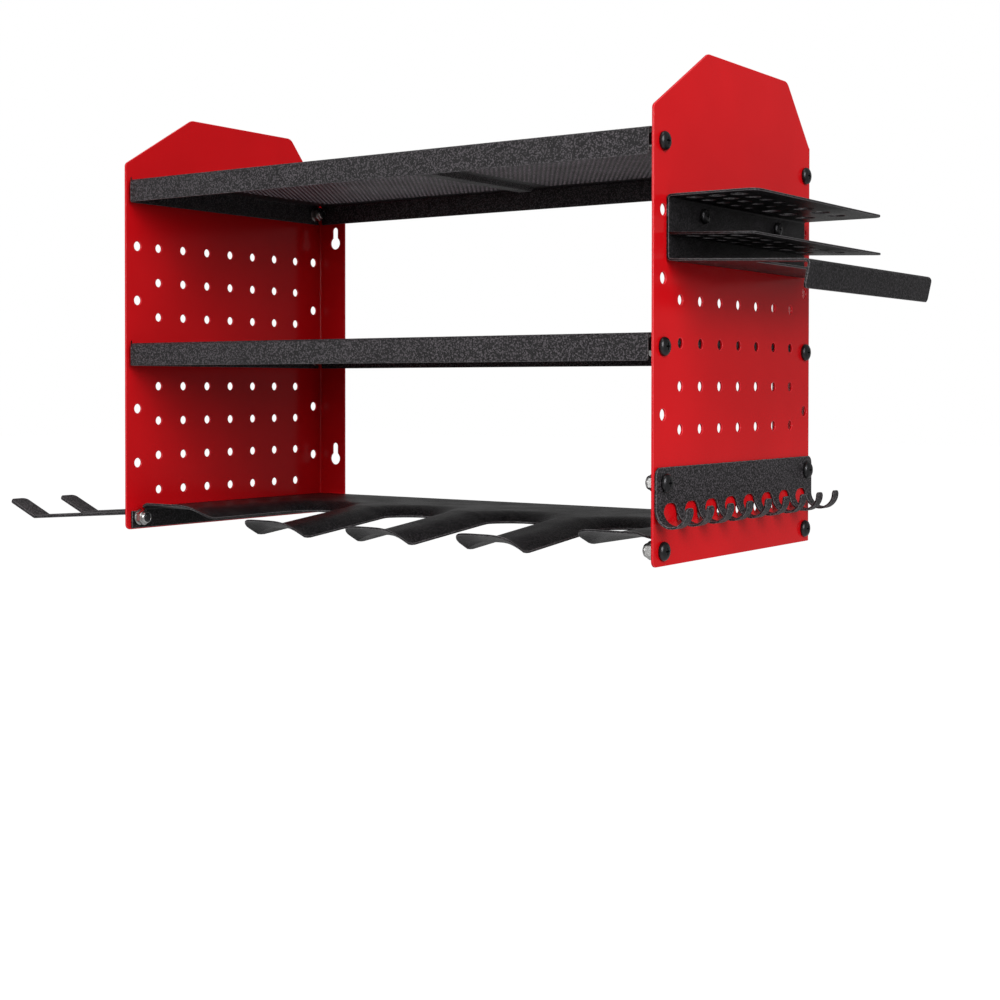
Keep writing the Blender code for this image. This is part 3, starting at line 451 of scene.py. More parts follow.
RED_COAT = red_gloss_coat(
    "red_gloss_coat",
    deep=(0.47, 0.0030, 0.0055, 1),
    bright=(0.56, 0.0042, 0.0075, 1),
    smoothest=0.12,
    dullest=0.20,
)
# The rounded edges are a lighter red: the coat drawn thin there, and a painted highlight along them.
RED_THIN_EDGE_AND_HIGHLIGHT = red_gloss_coat(
    "red_thin_edge_and_highlight",
    deep=(0.62, 0.025, 0.034, 1),
    bright=(0.72, 0.050, 0.062, 1),
    smoothest=0.12,
    dullest=0.18,
)


def fit(piece, node, slot, *materials):
    """Gives a piece its materials and puts it in the place of its CAD node."""
    if not piece.data.materials:
        for material in materials:
            piece.data.materials.append(material)
    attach(piece, "root")
    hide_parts(node)


def keyhole(x, seat):
    """A round entry below a slot whose rounded top end seats the screw."""
    half_slot = KEYHOLE_SLOT_WIDTH / 2
    entry = (x, seat - KEYHOLE_TRAVEL)
    opening = math.degrees(math.asin(half_slot / (KEYHOLE_DIAMETER / 2)))
    ring = arc(entry, KEYHOLE_DIAMETER / 2, 90 + opening, 450 - opening, HOLE_SIDES)
    return ring + arc((x, seat), half_slot, 0, 180, HOLE_SIDES // 2)


def side_panel(name, node, side):
    radius = middle_radius(PANEL_SHEET)
    bend_start = PANEL_DEPTH - PANEL_SHEET / 2 - radius
    bends = [(bend_start, radius, math.pi / 2)]
    flange_start = bend_start + radius * math.pi / 2
    edge = flange_start + FLANGE_WIDTH - PANEL_SHEET / 2 - radius
    keyhole_line = flange_start + KEYHOLE_INSET - PANEL_SHEET / 2 - radius
    corner = PANEL_CORNER_RADIUS
    outline = rounded(
        [
            (0, 0, corner),
            (edge, 0, corner),
            (edge, PANEL_FRONT_HEIGHT, corner),
            (bend_start, PANEL_FRONT_HEIGHT, 0),
            (PANEL_DEPTH - REAR_CHAMFER_DEPTH, PANEL_HEIGHT, PANEL_CHAMFER_RADIUS),
            (FRONT_CHAMFER_DEPTH, PANEL_HEIGHT, PANEL_CHAMFER_RADIUS),
            (0, PANEL_FRONT_HEIGHT, corner),
        ]
    )
    rings = [outline]
    for row in range(BOLT_ROWS):
        for column in BOLT_COLUMNS:
            rings.append(round_hole((column, BOLT_ROW_HEIGHT + row * BOLT_ROW_PITCH), BOLT_HOLE_DIAMETER))
    for row in range(GRID_ROWS):
        for column in range(GRID_COLUMNS):
            centre = (GRID_FRONT_INSET + column * GRID_PITCH, GRID_ROW_HEIGHT + row * GRID_ROW_PITCH)
            rings.append(round_hole(centre, GRID_HOLE_DIAMETER))
    for seat in (UPPER_SEAT_HEIGHT, LOWER_SEAT_HEIGHT):
        rings.append(keyhole(keyhole_line, seat))

    def place(along, up, height):
        back, inward = fold(along, height, bends)
        return (side * (PANEL_FACE - inward - PANEL_SHEET / 2), FRONT + back, BOTTOM + up)

    panel = folded_sheet(name, rings, PANEL_SHEET, crease_lines(bends, 0), place, PANEL_EDGE_ROUND)
    fit(panel, node, "red_coat", RED_COAT, RED_THIN_EDGE_AND_HIGHLIGHT)


side_panel("left_panel_sheet", "side_panel_left", -1)
side_panel("right_panel_sheet", "side_panel_right", 1)

# Shelves
# Two trays of 1.2 mm steel, upside down: the flat top has a pressed rib and two finely punched
# fields, and a lip is folded down on each side. The coat is black with a fine, hard wrinkle whose
# crests carry a painted highlight, and the walls of the punched holes are painted pale, a painted
# highlight for the light that falls through them.
SHELF_SHEET = 0.0012
SHELF_LIP = 0.0166
SHELF_BOLT_DROP = 0.0082
SHELF_FRONT_SETBACK = 0.0015
SHELF_REAR_SETBACK = 0.0023
SHELF_RIB_WIDTH = 0.010
SHELF_RIB_SLOPE = 0.003
SHELF_RIB_DEPTH = 0.004
SHELF_RIB_MARGIN = 0.016
SHELF_CORNER_RADIUS = 0.0012
SHELF_EDGE_ROUND = 0.0003
PORE_PITCH = 0.0040
PORE_ROW_PITCH = 0.00293
PORE_DIAMETER = 0.0025
PORE_SIDES = 6
FIELD_SIDE_MARGIN = 0.016
FIELD_END_MARGIN = 0.011
RIB_STEPS = 6
GRAIN_REACH = 0.75
GRAIN_SHARE = 0.7
FINE_GRAIN_SCALE = 1.7
CREST_HIGHLIGHT_START = 0.76
CREST_HIGHLIGHT_FULL = 1.06


def wrinkle_group():
    """The relief of a wrinkle powder coat: small hard grains of two sizes, and a mask of their crests,
    where a painted highlight goes.
    """
    group, start, end = new_group("coat_wrinkle", {"Grains per metre": 900.0}, ("Height", "Crest highlight"))
    places = add_node(group, "ShaderNodeTexCoord").outputs["Object"]
    grain_scale = start.outputs["Grains per metre"]
    cells = add_node(
        group, "ShaderNodeTexVoronoi", {"Vector": places, "Scale": grain_scale}, feature="SMOOTH_F1"
    ).outputs["Distance"]
    grains = spread(group, cells, 0.0, GRAIN_REACH, to_low=1.0, to_high=0.0)
    fine_scale = math_node(group, "MULTIPLY", grain_scale, FINE_GRAIN_SCALE)
    fine = noise(group, places, fine_scale, detail=3.0, roughness=0.6)
    height = math_node(group, "ADD", math_node(group, "MULTIPLY", grains, GRAIN_SHARE), fine)
    group.links.new(height, end.inputs["Height"])
    # The crest mask marks where the coats paint a highlight on the grains.
    group.links.new(spread(group, height, CREST_HIGHLIGHT_START, CREST_HIGHLIGHT_FULL), end.inputs["Crest highlight"])
    return group


COAT_WRINKLE = wrinkle_group()
BLACK_GLOSS_LEVEL = 0.27
WRINKLE_RELIEF = 0.00035
THIN_COAT_RELIEF = 0.00006
PORE_WALL_RELIEF = 0.00002
FADED_BLACK = (0.02, 0.02, 0.02, 1)
FADED_SHARE = 0.2


def black_wrinkle_coat(name, valley, crest_highlight, smoothest, dullest, relief, gloss=BLACK_GLOSS_LEVEL):
    """A black wrinkle coat, deep between its grains, with a painted highlight that makes their crests
    paler.
    """
    material, tree, shader = new_material(name)
    wrinkle = use_group(tree, COAT_WRINKLE)
    film = use_group(tree, COAT_FILM)
    dust = use_group(tree, SETTLED_DUST)["Mask"]
    shader.inputs["Specular IOR Level"].default_value = gloss
    # Painted highlight: the grain crests take the paler crest colour.
    color = mix_color(tree, wrinkle["Crest highlight"], valley, crest_highlight)
    color = mix_color(tree, math_node(tree, "MULTIPLY", film["Tone"], FADED_SHARE), color, FADED_BLACK)
    color = mix_color(tree, math_node(tree, "MULTIPLY", dust, DUST_SHARE), color, DUST_COLOR)
    tree.links.new(color, shader.inputs["Base Color"])
    tree.links.new(spread(tree, film["Haze"], 0, 1, smoothest, dullest), shader.inputs["Roughness"])
    bump = add_node(tree, "ShaderNodeBump", {"Height": wrinkle["Height"], "Distance": relief})
    tree.links.new(bump.outputs["Normal"], shader.inputs["Normal"])
    return material


# Its crest colour is a painted highlight on the grain.
BLACK_COAT = black_wrinkle_coat(
    "black_wrinkle_coat",
    valley=(0.0040, 0.0032, 0.0040, 1),
    crest_highlight=(0.090, 0.079, 0.088, 1),
    smoothest=0.36,
    dullest=0.50,
    relief=WRINKLE_RELIEF,
)
# The rounded edges are paler: the coat drawn thin there, and a painted highlight along them.
BLACK_THIN_EDGE_AND_HIGHLIGHT = black_wrinkle_coat(
    "black_thin_edge_and_highlight",
    valley=(0.055, 0.052, 0.055, 1),
    crest_highlight=(0.13, 0.12, 0.125, 1),
    smoothest=0.26,
    dullest=0.36,
    relief=THIN_COAT_RELIEF,
)
# Painted light: the pore walls are painted pale for the light that falls through the holes onto them.
PORE_WALL_PAINTED_LIGHT = black_wrinkle_coat(
    "pore_wall_painted_light",
    valley=(0.24, 0.21, 0.235, 1),
    crest_highlight=(0.40, 0.35, 0.39, 1),
    smoothest=0.30,
    dullest=0.40,
    relief=PORE_WALL_RELIEF,
)


def punched_field(low_x, high_x, low_y, high_y):
    """Centres of staggered holes, in rows along X, that fill a rectangle."""
    rows = 1 + int((high_y - low_y) / PORE_ROW_PITCH)
    columns = int((high_x - low_x) / PORE_PITCH)
    first_y = (low_y + high_y - (rows - 1) * PORE_ROW_PITCH) / 2
    first_x = (low_x + high_x - (columns - 1) * PORE_PITCH) / 2 - PORE_PITCH / 4
    centres = []
    for row in range(rows):
        shift = (row % 2) * PORE_PITCH / 2
        for column in range(columns):
            centres.append((first_x + shift + column * PORE_PITCH, first_y + row * PORE_ROW_PITCH))
    return centres


def shelf(name, node):
    radius = middle_radius(SHELF_SHEET)
    turn = radius * math.pi / 2
    half_width = PANEL_INNER_FACE - CONTACT_GAP
    half_depth = (PANEL_DEPTH - SHELF_FRONT_SETBACK - SHELF_REAR_SETBACK) / 2
    middle = SHELF_FRONT_SETBACK + half_depth
    fold_x = half_width - SHELF_SHEET / 2 - radius
    fold_y = half_depth - SHELF_SHEET / 2 - radius
    end_x = fold_x + turn + SHELF_LIP - SHELF_SHEET / 2 - radius
    end_y = end_x - fold_x + fold_y
    corner = SHELF_CORNER_RADIUS
    outline = rounded(
        [
            (-end_x, -fold_y, corner),
            (-fold_x, -fold_y, 0),
            (-fold_x, -end_y, corner),
            (fold_x, -end_y, corner),
            (fold_x, -fold_y, 0),
            (end_x, -fold_y, corner),
            (end_x, fold_y, corner),
            (fold_x, fold_y, 0),
            (fold_x, end_y, corner),
            (-fold_x, end_y, corner),
            (-fold_x, fold_y, 0),
            (-end_x, fold_y, corner),
        ]
    )
    hole_x = fold_x + turn + SHELF_BOLT_DROP - SHELF_SHEET / 2 - radius
    rings = [outline]
    for side in (-1, 1):
        for column in BOLT_COLUMNS:
            rings.append(round_hole((side * hole_x, column - middle), BOLT_HOLE_DIAMETER))
    bends_x = [(fold_x, radius, -math.pi / 2)]
    bends_y = [(fold_y, radius, -math.pi / 2)]
    rib_x = SHELF_RIB_WIDTH / 2
    rib_y = fold_y - SHELF_RIB_MARGIN
    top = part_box(node)[1].z - SHELF_SHEET / 2

    def eased(share):
        share = max(0, min(1, share))
        return share * share * (3 - 2 * share)

    def rib(x, y):
        across = (rib_x + SHELF_RIB_SLOPE - abs(x)) / SHELF_RIB_SLOPE
        along = (rib_y + SHELF_RIB_SLOPE - abs(y)) / SHELF_RIB_SLOPE
        return -SHELF_RIB_DEPTH * eased(across) * eased(along)

    def place(x, y, height):
        out_x, up_x = fold(abs(x), height, bends_x)
        out_y, up_y = fold(abs(y), height, bends_y)
        up = up_x + rib(x, y) if abs(y) <= fold_y else up_y
        return (math.copysign(out_x, x), FRONT + middle + math.copysign(out_y, y), top + up)

    creases = []
    for axis, bends in ((0, bends_x), (1, bends_y)):
        for _, line in crease_lines(bends, axis):
            creases += [(axis, line), (axis, -line)]
    for side in (-1, 1):
        for step in range(RIB_STEPS + 1):
            slope = SHELF_RIB_SLOPE * step / RIB_STEPS
            creases += [(0, side * (rib_x + slope)), (1, side * (rib_y + slope))]
    pores = []
    field_y = fold_y - FIELD_END_MARGIN
    for side in (-1, 1):
        ends = sorted((side * (rib_x + FIELD_END_MARGIN), side * (fold_x - FIELD_SIDE_MARGIN)))
        pores += punched_field(*ends, -field_y, field_y)
    tray = folded_sheet(
        name, rings, SHELF_SHEET, creases, place, SHELF_EDGE_ROUND, pores, PORE_DIAMETER, PORE_SIDES
    )
    fit(tray, node, "black_coat", BLACK_COAT, BLACK_THIN_EDGE_AND_HIGHLIGHT, PORE_WALL_PAINTED_LIGHT)


shelf("upper_shelf_tray", "upper_shelf")
shelf("middle_shelf_tray", "middle_shelf")

# Drill rail
# A plate of 1.5 mm steel with four open slots in its front edge. The press rolls the slot edges
# down and curls the tongue tips up; the side flanges are bolted between the panels. Its coat is
# darker than the shelves' and has the same grain in lower relief.
RAIL_SHEET = 0.0015
RAIL_BOLT_DROP = 0.0076
RAIL_FLANGE = 0.0157
RAIL_FLANGE_SETBACK = 0.004
RAIL_TONGUE_SETBACK = 0.007
RAIL_REAR_SETBACK = 0.004
SLOT_COUNT = 4
SLOT_PITCH = 0.0925
SLOT_WIDTH = 0.048
SLOT_LENGTH = 0.126
TONGUE_CORNER_RADIUS = 0.010
TAB_LENGTH = 0.019
TAB_RISE = 0.0034
SLOT_EDGE_DROP = 0.007
SLOT_EDGE_WIDTH = 0.017
SLOT_EDGE_FADE = 0.024
TIP_ROLL_SHARE = 0.15
TONGUE_DROOP = 0.009
DROOP_LENGTH = 0.090
PRESS_STEP = 0.0032
RAIL_EDGE_ROUND = 0.0004
FINE_COAT_RELIEF = 0.0002
# Its crest colour is a painted highlight on the grain.
FINE_BLACK_COAT = black_wrinkle_coat(
    "fine_black_coat",
    valley=(0.0030, 0.0028, 0.0032, 1),
    crest_highlight=(0.036, 0.032, 0.036, 1),
    smoothest=0.30,
    dullest=0.42,
    relief=FINE_COAT_RELIEF,
    gloss=0.13,
)


def drill_rail():
    radius = middle_radius(RAIL_SHEET)
    turn = radius * math.pi / 2
    fold_x = PANEL_INNER_FACE - CONTACT_GAP - RAIL_SHEET / 2 - radius
    flange_x = fold_x + turn
    edge_x = flange_x + RAIL_FLANGE - RAIL_SHEET / 2 - radius
    rear = PANEL_DEPTH - RAIL_REAR_SETBACK
    tip = RAIL_TONGUE_SETBACK
    corner = TONGUE_CORNER_RADIUS
    half_slot = SLOT_WIDTH / 2
    slot_middle = tip + SLOT_LENGTH - half_slot
    centres = [(index - (SLOT_COUNT - 1) / 2) * SLOT_PITCH for index in range(SLOT_COUNT)]
    front = []
    for centre in centres:
        left, right = centre - half_slot, centre + half_slot
        front += arc((left - corner, tip + corner), corner, 270, 360, CORNER_STEPS)
        front += arc((centre, slot_middle), half_slot, 180, 0, HOLE_SIDES)
        front += arc((right + corner, tip + corner), corner, 180, 270, CORNER_STEPS)
    outline = [(-edge_x, RAIL_FLANGE_SETBACK), (-flange_x, RAIL_FLANGE_SETBACK), (-flange_x, tip + corner)]
    outline += arc((-fold_x + corner, tip + corner), corner, 180, 270, CORNER_STEPS)
    outline += front
    outline += arc((fold_x - corner, tip + corner), corner, 270, 360, CORNER_STEPS)
    outline += [(flange_x, tip + corner), (flange_x, RAIL_FLANGE_SETBACK), (edge_x, RAIL_FLANGE_SETBACK)]
    outline += [(edge_x, rear), (-edge_x, rear)]
    hole_x = flange_x + RAIL_BOLT_DROP - RAIL_SHEET / 2 - radius
    rings = [outline]
    for side in (-1, 1):
        for column in BOLT_COLUMNS:
            rings.append(round_hole((side * hole_x, column), BOLT_HOLE_DIAMETER))
    bends = [(fold_x, radius, -math.pi / 2)]
    tab = tip + TAB_LENGTH
    top = BOTTOM + BOLT_ROW_HEIGHT + RAIL_BOLT_DROP - RAIL_SHEET / 2

    def press(x, y):
        """How far the pressing lifts or lowers the plate."""
        rise = 0.0
        roll = TIP_ROLL_SHARE + (1 - TIP_ROLL_SHARE) * min(1, (y - tip) / SLOT_EDGE_FADE)
        for centre in centres:
            from_slot = math.hypot(x - centre, max(0, y - slot_middle)) - half_slot
            share = max(0, 1 - max(0, from_slot) / SLOT_EDGE_WIDTH)
            rise -= SLOT_EDGE_DROP * share * share * roll
        inner_tongue = abs(x) < centres[-1]
        slope = TONGUE_DROOP / DROOP_LENGTH if inner_tongue else 0.0
        if y < tab + DROOP_LENGTH:
            rise -= slope * (tab + DROOP_LENGTH - max(y, tab))
        if y < tab:
            lift = TAB_RISE / TAB_LENGTH + slope
            rise += lift * (tab - y) * max(0, min(1, (fold_x - abs(x)) / corner))
        return rise

    def place(x, y, height):
        out, up = fold(abs(x), height, bends)
        pressed = press(x, y) if abs(x) <= fold_x else 0
        return (math.copysign(out, x), FRONT + y, top + up + pressed)

    creases = [(0, side * line) for side in (-1, 1) for _, line in crease_lines(bends, 0)]
    creases += [(1, tab), (1, tab + DROOP_LENGTH)]
    grid_x = int((fold_x - corner) / PRESS_STEP)
    creases += [(0, step * PRESS_STEP) for step in range(-grid_x, grid_x + 1)]
    grid_y = int((slot_middle + half_slot + SLOT_EDGE_WIDTH - tip) / PRESS_STEP)
    creases += [(1, tip + (step + 1) * PRESS_STEP) for step in range(grid_y)]
    rail = folded_sheet("drill_rail_plate", rings, RAIL_SHEET, creases, place, RAIL_EDGE_ROUND)
    fit(rail, "drill_rail", "black_coat", FINE_BLACK_COAT, BLACK_THIN_EDGE_AND_HIGHLIGHT)


drill_rail()

# Bit and pliers rack
# One 1.5 mm sheet folded to a C and bolted outside the right panel. Rows of holes go through its
# top and through a plate welded below, and a long gap in its bottom leaves a bar on the outside.
RACK_SHEET = 0.0015
RACK_FRONT_SETBACK = 0.0145
RACK_LENGTH = 0.1885
RACK_HEIGHT = 0.0395
RACK_TOP_WIDTH = 0.0586
RACK_BOTTOM_WIDTH = 0.0915
RACK_SLOPE = math.radians(2.4)
PLIERS_FLANGE = 0.0165
PLIERS_FLANGE_LEAN = math.radians(12)
PLIERS_GAP_WIDTH = 0.0340
PLIERS_GAP_MARGIN = 0.0115
PLIERS_BAR_WIDTH = 0.0055
RACK_CORNER_RADIUS = 0.003
RACK_TOP_CORNER_RADIUS = 0.008
MIDDLE_PLATE_WIDTH = 0.0573
MIDDLE_PLATE_DROP = 0.0231
BIT_HOLE_LARGEST = 0.010
BIT_HOLE_STEP = 0.001
BIT_ROWS = 5
BIT_COLUMNS = 3
BIT_COLUMN_PITCH = 0.0145
BIT_COLUMNS_MIDDLE = 0.0262
BIT_ROW_PITCH = 0.018
BIT_FRONT_INSET = 0.014
DRIVER_HOLE_DIAMETER = 0.012
DRIVER_ROWS = 3
DRIVER_ROW_PITCH = 0.025
DRIVER_FRONT_INSET = 0.110
DRIVER_OFFSET_SHARE = 0.75
TIP_HOLE_DIAMETER = 0.003
RACK_BOLT_GRID_ROW = 7
RACK_BOLT_GRID_COLUMNS = (1, 5)
RACK_EDGE_ROUND = 0.0004


def bit_places():
    """The holes through the rack's top and middle plates: (outward, from its front edge, diameter)."""
    places = []
    for row in range(BIT_ROWS):
        for column in range(BIT_COLUMNS):
            outward = BIT_COLUMNS_MIDDLE + (column - (BIT_COLUMNS - 1) / 2) * BIT_COLUMN_PITCH
            diameter = BIT_HOLE_LARGEST - row * BIT_HOLE_STEP
            places.append((outward, BIT_FRONT_INSET + row * BIT_ROW_PITCH, diameter))
    for row in range(DRIVER_ROWS):
        for side in (-1, 1):
            outward = BIT_COLUMNS_MIDDLE + side * BIT_COLUMN_PITCH * DRIVER_OFFSET_SHARE
            places.append((outward, DRIVER_FRONT_INSET + row * DRIVER_ROW_PITCH, DRIVER_HOLE_DIAMETER))
    return places


def plate_outline(start, end, start_radius, end_radius, margin=0.0):
    """A rectangle over the rack's length, less a margin at both its ends, with rounded corners."""
    return rounded(
        [
            (start, margin, start_radius),
            (end, margin, end_radius),
            (end, RACK_LENGTH - margin, end_radius),
            (start, RACK_LENGTH - margin, start_radius),
        ]
    )


def bit_rack():
    radius = middle_radius(RACK_SHEET)
    back = CONTACT_GAP + RACK_SHEET / 2
    level = RACK_SHEET / 2 + radius
    top_flat = RACK_TOP_WIDTH - back - radius
    turn = math.pi / 2
    back_start = top_flat + radius * turn
    bottom_bend = back_start + RACK_HEIGHT - 2 * level
    bottom_start = bottom_bend + radius * (turn - RACK_SLOPE)
    bar_bend = bottom_start + (RACK_BOTTOM_WIDTH - level - back - radius) / math.cos(RACK_SLOPE)
    bar_turn = turn - RACK_SLOPE + PLIERS_FLANGE_LEAN
    edge = bar_bend + radius * bar_turn + PLIERS_FLANGE - level
    bends = [
        (top_flat, radius, turn),
        (bottom_bend, radius, turn - RACK_SLOPE),
        (bar_bend, radius, -bar_turn),
    ]
    corner = RACK_CORNER_RADIUS
    rings = [plate_outline(0, edge, RACK_TOP_CORNER_RADIUS, corner)]
    gap_end = bar_bend + level - PLIERS_BAR_WIDTH
    rings.append(plate_outline(gap_end - PLIERS_GAP_WIDTH, gap_end, corner, corner, PLIERS_GAP_MARGIN))
    for outward, along, diameter in bit_places():
        rings.append(round_hole((RACK_TOP_WIDTH - outward, along), diameter))
    for row in range(BIT_ROWS):
        centre = (bottom_start + BIT_FRONT_INSET, BIT_FRONT_INSET + row * BIT_ROW_PITCH)
        rings.append(round_hole(centre, TIP_HOLE_DIAMETER))
    rack_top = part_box("bit_and_pliers_rack")[1].z
    for column in RACK_BOLT_GRID_COLUMNS:
        height = BOTTOM + GRID_ROW_HEIGHT + RACK_BOLT_GRID_ROW * GRID_ROW_PITCH
        along = GRID_FRONT_INSET + column * GRID_PITCH - RACK_FRONT_SETBACK
        rings.append(round_hole((back_start + rack_top - level - height, along), GRID_HOLE_DIAMETER))

    def place(along, y, height):
        outward, up = fold(along, height, bends, math.pi)
        return (
            PANEL_FACE + outward + RACK_TOP_WIDTH,
            FRONT + RACK_FRONT_SETBACK + y,
            rack_top + up - RACK_SHEET / 2,
        )

    rack = folded_sheet(
        "bit_and_pliers_rack_sheet", rings, RACK_SHEET, crease_lines(bends, 0), place, RACK_EDGE_ROUND
    )
    fit(rack, "bit_and_pliers_rack", "black_coat", FINE_BLACK_COAT, BLACK_THIN_EDGE_AND_HIGHLIGHT)


def middle_plate():
    start = 2 * CONTACT_GAP + RACK_SHEET
    rings = [plate_outline(start, MIDDLE_PLATE_WIDTH, 0, RACK_CORNER_RADIUS)]
    for outward, along, diameter in bit_places():
        rings.append(round_hole((outward, along), diameter))
    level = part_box("bit_and_pliers_rack")[1].z - MIDDLE_PLATE_DROP

    def place(outward, y, height):
        up = level + height - outward * math.tan(RACK_SLOPE)
        return (PANEL_FACE + outward, FRONT + RACK_FRONT_SETBACK + y, up)

    plate = folded_sheet("bit_rack_guide_plate", rings, RACK_SHEET, [], place, RACK_EDGE_ROUND)
    fit(plate, "bit_rack_middle_plate", "black_coat", FINE_BLACK_COAT, BLACK_THIN_EDGE_AND_HIGHLIGHT)


bit_rack()
middle_plate()

# Hook rail
# A strip of 1.5 mm steel whose lower edge is cut into nine fingers, each curled out and up to a
# hook. Two bolts hold it low on the right panel.
HOOK_SHEET = 0.0015
HOOK_PLATE_SETBACK = 0.001
HOOK_PLATE_LENGTH = 0.215
HOOK_PLATE_RISE = 0.0094
HOOK_COUNT = 9
HOOK_WIDTH = 0.0086
HOOK_GAP_TOP_DROP = 0.0215
HOOK_GAP_CORNER_RADIUS = 0.0065
HOOK_DROP = 0.0249
HOOK_RADIUS = 0.0100
HOOK_TIP_LENGTH = 0.0020
HOOK_TIP_RADIUS = 0.0025
HOOK_PLATE_CORNER_RADIUS = 0.005
HOOK_STEPS = 24
HOOK_EDGE_ROUND = 0.0004


def hook_rail():
    pitch = (HOOK_PLATE_LENGTH - HOOK_WIDTH) / (HOOK_COUNT - 1)
    bends = [(HOOK_DROP, HOOK_RADIUS, math.pi)]
    tip = HOOK_DROP + HOOK_RADIUS * math.pi + HOOK_TIP_LENGTH
    corners = [(0, 0, HOOK_PLATE_CORNER_RADIUS)]
    for hook in range(HOOK_COUNT):
        start = hook * pitch
        end = start + HOOK_WIDTH
        if hook:
            corners.append((HOOK_GAP_TOP_DROP, start, HOOK_GAP_CORNER_RADIUS))
        corners += [(tip, start, HOOK_TIP_RADIUS), (tip, end, HOOK_TIP_RADIUS)]
        if hook < HOOK_COUNT - 1:
            corners.append((HOOK_GAP_TOP_DROP, end, HOOK_GAP_CORNER_RADIUS))
    corners.append((0, HOOK_PLATE_LENGTH, HOOK_PLATE_CORNER_RADIUS))
    rings = [rounded(corners)]
    for column in BOLT_COLUMNS:
        rings.append(round_hole((HOOK_PLATE_RISE, column - HOOK_PLATE_SETBACK), BOLT_HOLE_DIAMETER))
    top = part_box("hook_rail")[1].z

    def place(down, y, height):
        drop, outward = fold(down, height, bends)
        return (
            PANEL_FACE + CONTACT_GAP + outward + HOOK_SHEET / 2,
            FRONT + HOOK_PLATE_SETBACK + y,
            top - drop,
        )

    creases = crease_lines(bends, 0, HOOK_STEPS)
    rail = folded_sheet("hook_rail_sheet", rings, HOOK_SHEET, creases, place, HOOK_EDGE_ROUND)
    fit(rail, "hook_rail", "black_coat", BLACK_COAT, BLACK_THIN_EDGE_AND_HIGHLIGHT)


hook_rail()

# Hammer bracket
# A strip of 2.5 mm steel outside the left panel, held by the drill rail's bolts. Two arms are
# folded out of it with a gap between them, and their tips turn up so that nothing slides off.
BRACKET_SHEET = 0.0025
BRACKET_SETBACK = 0.004
BRACKET_LENGTH = 0.210
BRACKET_BOTTOM_HEIGHT = 0.0015
BRACKET_HEIGHT = 0.015
BRACKET_BEND_RADIUS = 0.002
BRACKET_CORNER_RADIUS = 0.004
BRACKET_RELIEF = 0.002
FORK_INSET = 0.016
FORK_ARM_WIDTH = 0.016
FORK_GAP_WIDTH = 0.034
FORK_GAP_START = 0.024
FORK_LEVEL_REACH = 0.1275
FORK_TIP_LENGTH = 0.031
FORK_SLOPE = math.radians(4.1)
FORK_TIP_RISE = math.radians(22.3)
BRACKET_EDGE_ROUND = 0.0005


def hammer_bracket():
    radius = middle_radius(BRACKET_SHEET, BRACKET_BEND_RADIUS)
    first_turn = math.pi / 2 + FORK_SLOPE
    fork_bend = BRACKET_HEIGHT - BRACKET_CORNER_RADIUS - radius - BRACKET_SHEET / 2
    arm_start = fork_bend + radius * first_turn
    tip_turn = FORK_SLOPE + FORK_TIP_RISE
    tip_bend = arm_start + FORK_LEVEL_REACH - radius - BRACKET_SHEET
    tip = tip_bend + radius * tip_turn + FORK_TIP_LENGTH
    bends = [(fork_bend, radius, -first_turn), (tip_bend, radius, tip_turn)]
    arm = FORK_INSET
    gap = arm + FORK_ARM_WIDTH
    second_arm = gap + FORK_GAP_WIDTH
    fork_end = second_arm + FORK_ARM_WIDTH
    gap_start = arm_start + FORK_GAP_START
    corner = BRACKET_CORNER_RADIUS
    relief = BRACKET_RELIEF
    outline = rounded(
        [
            (0, 0, corner),
            (BRACKET_HEIGHT, 0, corner),
            (BRACKET_HEIGHT, arm - relief, corner),
            (fork_bend, arm - relief, 0),
            (fork_bend, arm, 0),
            (tip, arm, corner),
            (tip, gap, corner),
            (gap_start, gap, FORK_GAP_WIDTH / 2),
            (gap_start, second_arm, FORK_GAP_WIDTH / 2),
            (tip, second_arm, corner),
            (tip, fork_end, corner),
            (fork_bend, fork_end, 0),
            (fork_bend, fork_end + relief, 0),
            (BRACKET_HEIGHT, fork_end + relief, corner),
            (BRACKET_HEIGHT, BRACKET_LENGTH, corner),
            (0, BRACKET_LENGTH, corner),
        ],
        2 * CORNER_STEPS,
    )
    strip_low = BOTTOM + BRACKET_BOTTOM_HEIGHT
    hole_height = BOLT_ROW_HEIGHT - BRACKET_BOTTOM_HEIGHT
    rings = [outline]
    for column in BOLT_COLUMNS:
        rings.append(round_hole((hole_height, column - BRACKET_SETBACK), BOLT_HOLE_DIAMETER))

    def place(along, y, height):
        up, outward = along, -height
        if arm - relief / 2 < y < fork_end + relief / 2:
            outward, up = fold(along, height, bends, math.pi / 2)
        return (
            -PANEL_FACE - CONTACT_GAP - outward - BRACKET_SHEET / 2,
            FRONT + BRACKET_SETBACK + y,
            strip_low + up,
        )

    bracket = folded_sheet(
        "hammer_bracket_sheet", rings, BRACKET_SHEET, crease_lines(bends, 0), place, BRACKET_EDGE_ROUND
    )
    fit(bracket, "hammer_bracket", "black_coat", BLACK_COAT, BLACK_THIN_EDGE_AND_HIGHLIGHT)


hammer_bracket()

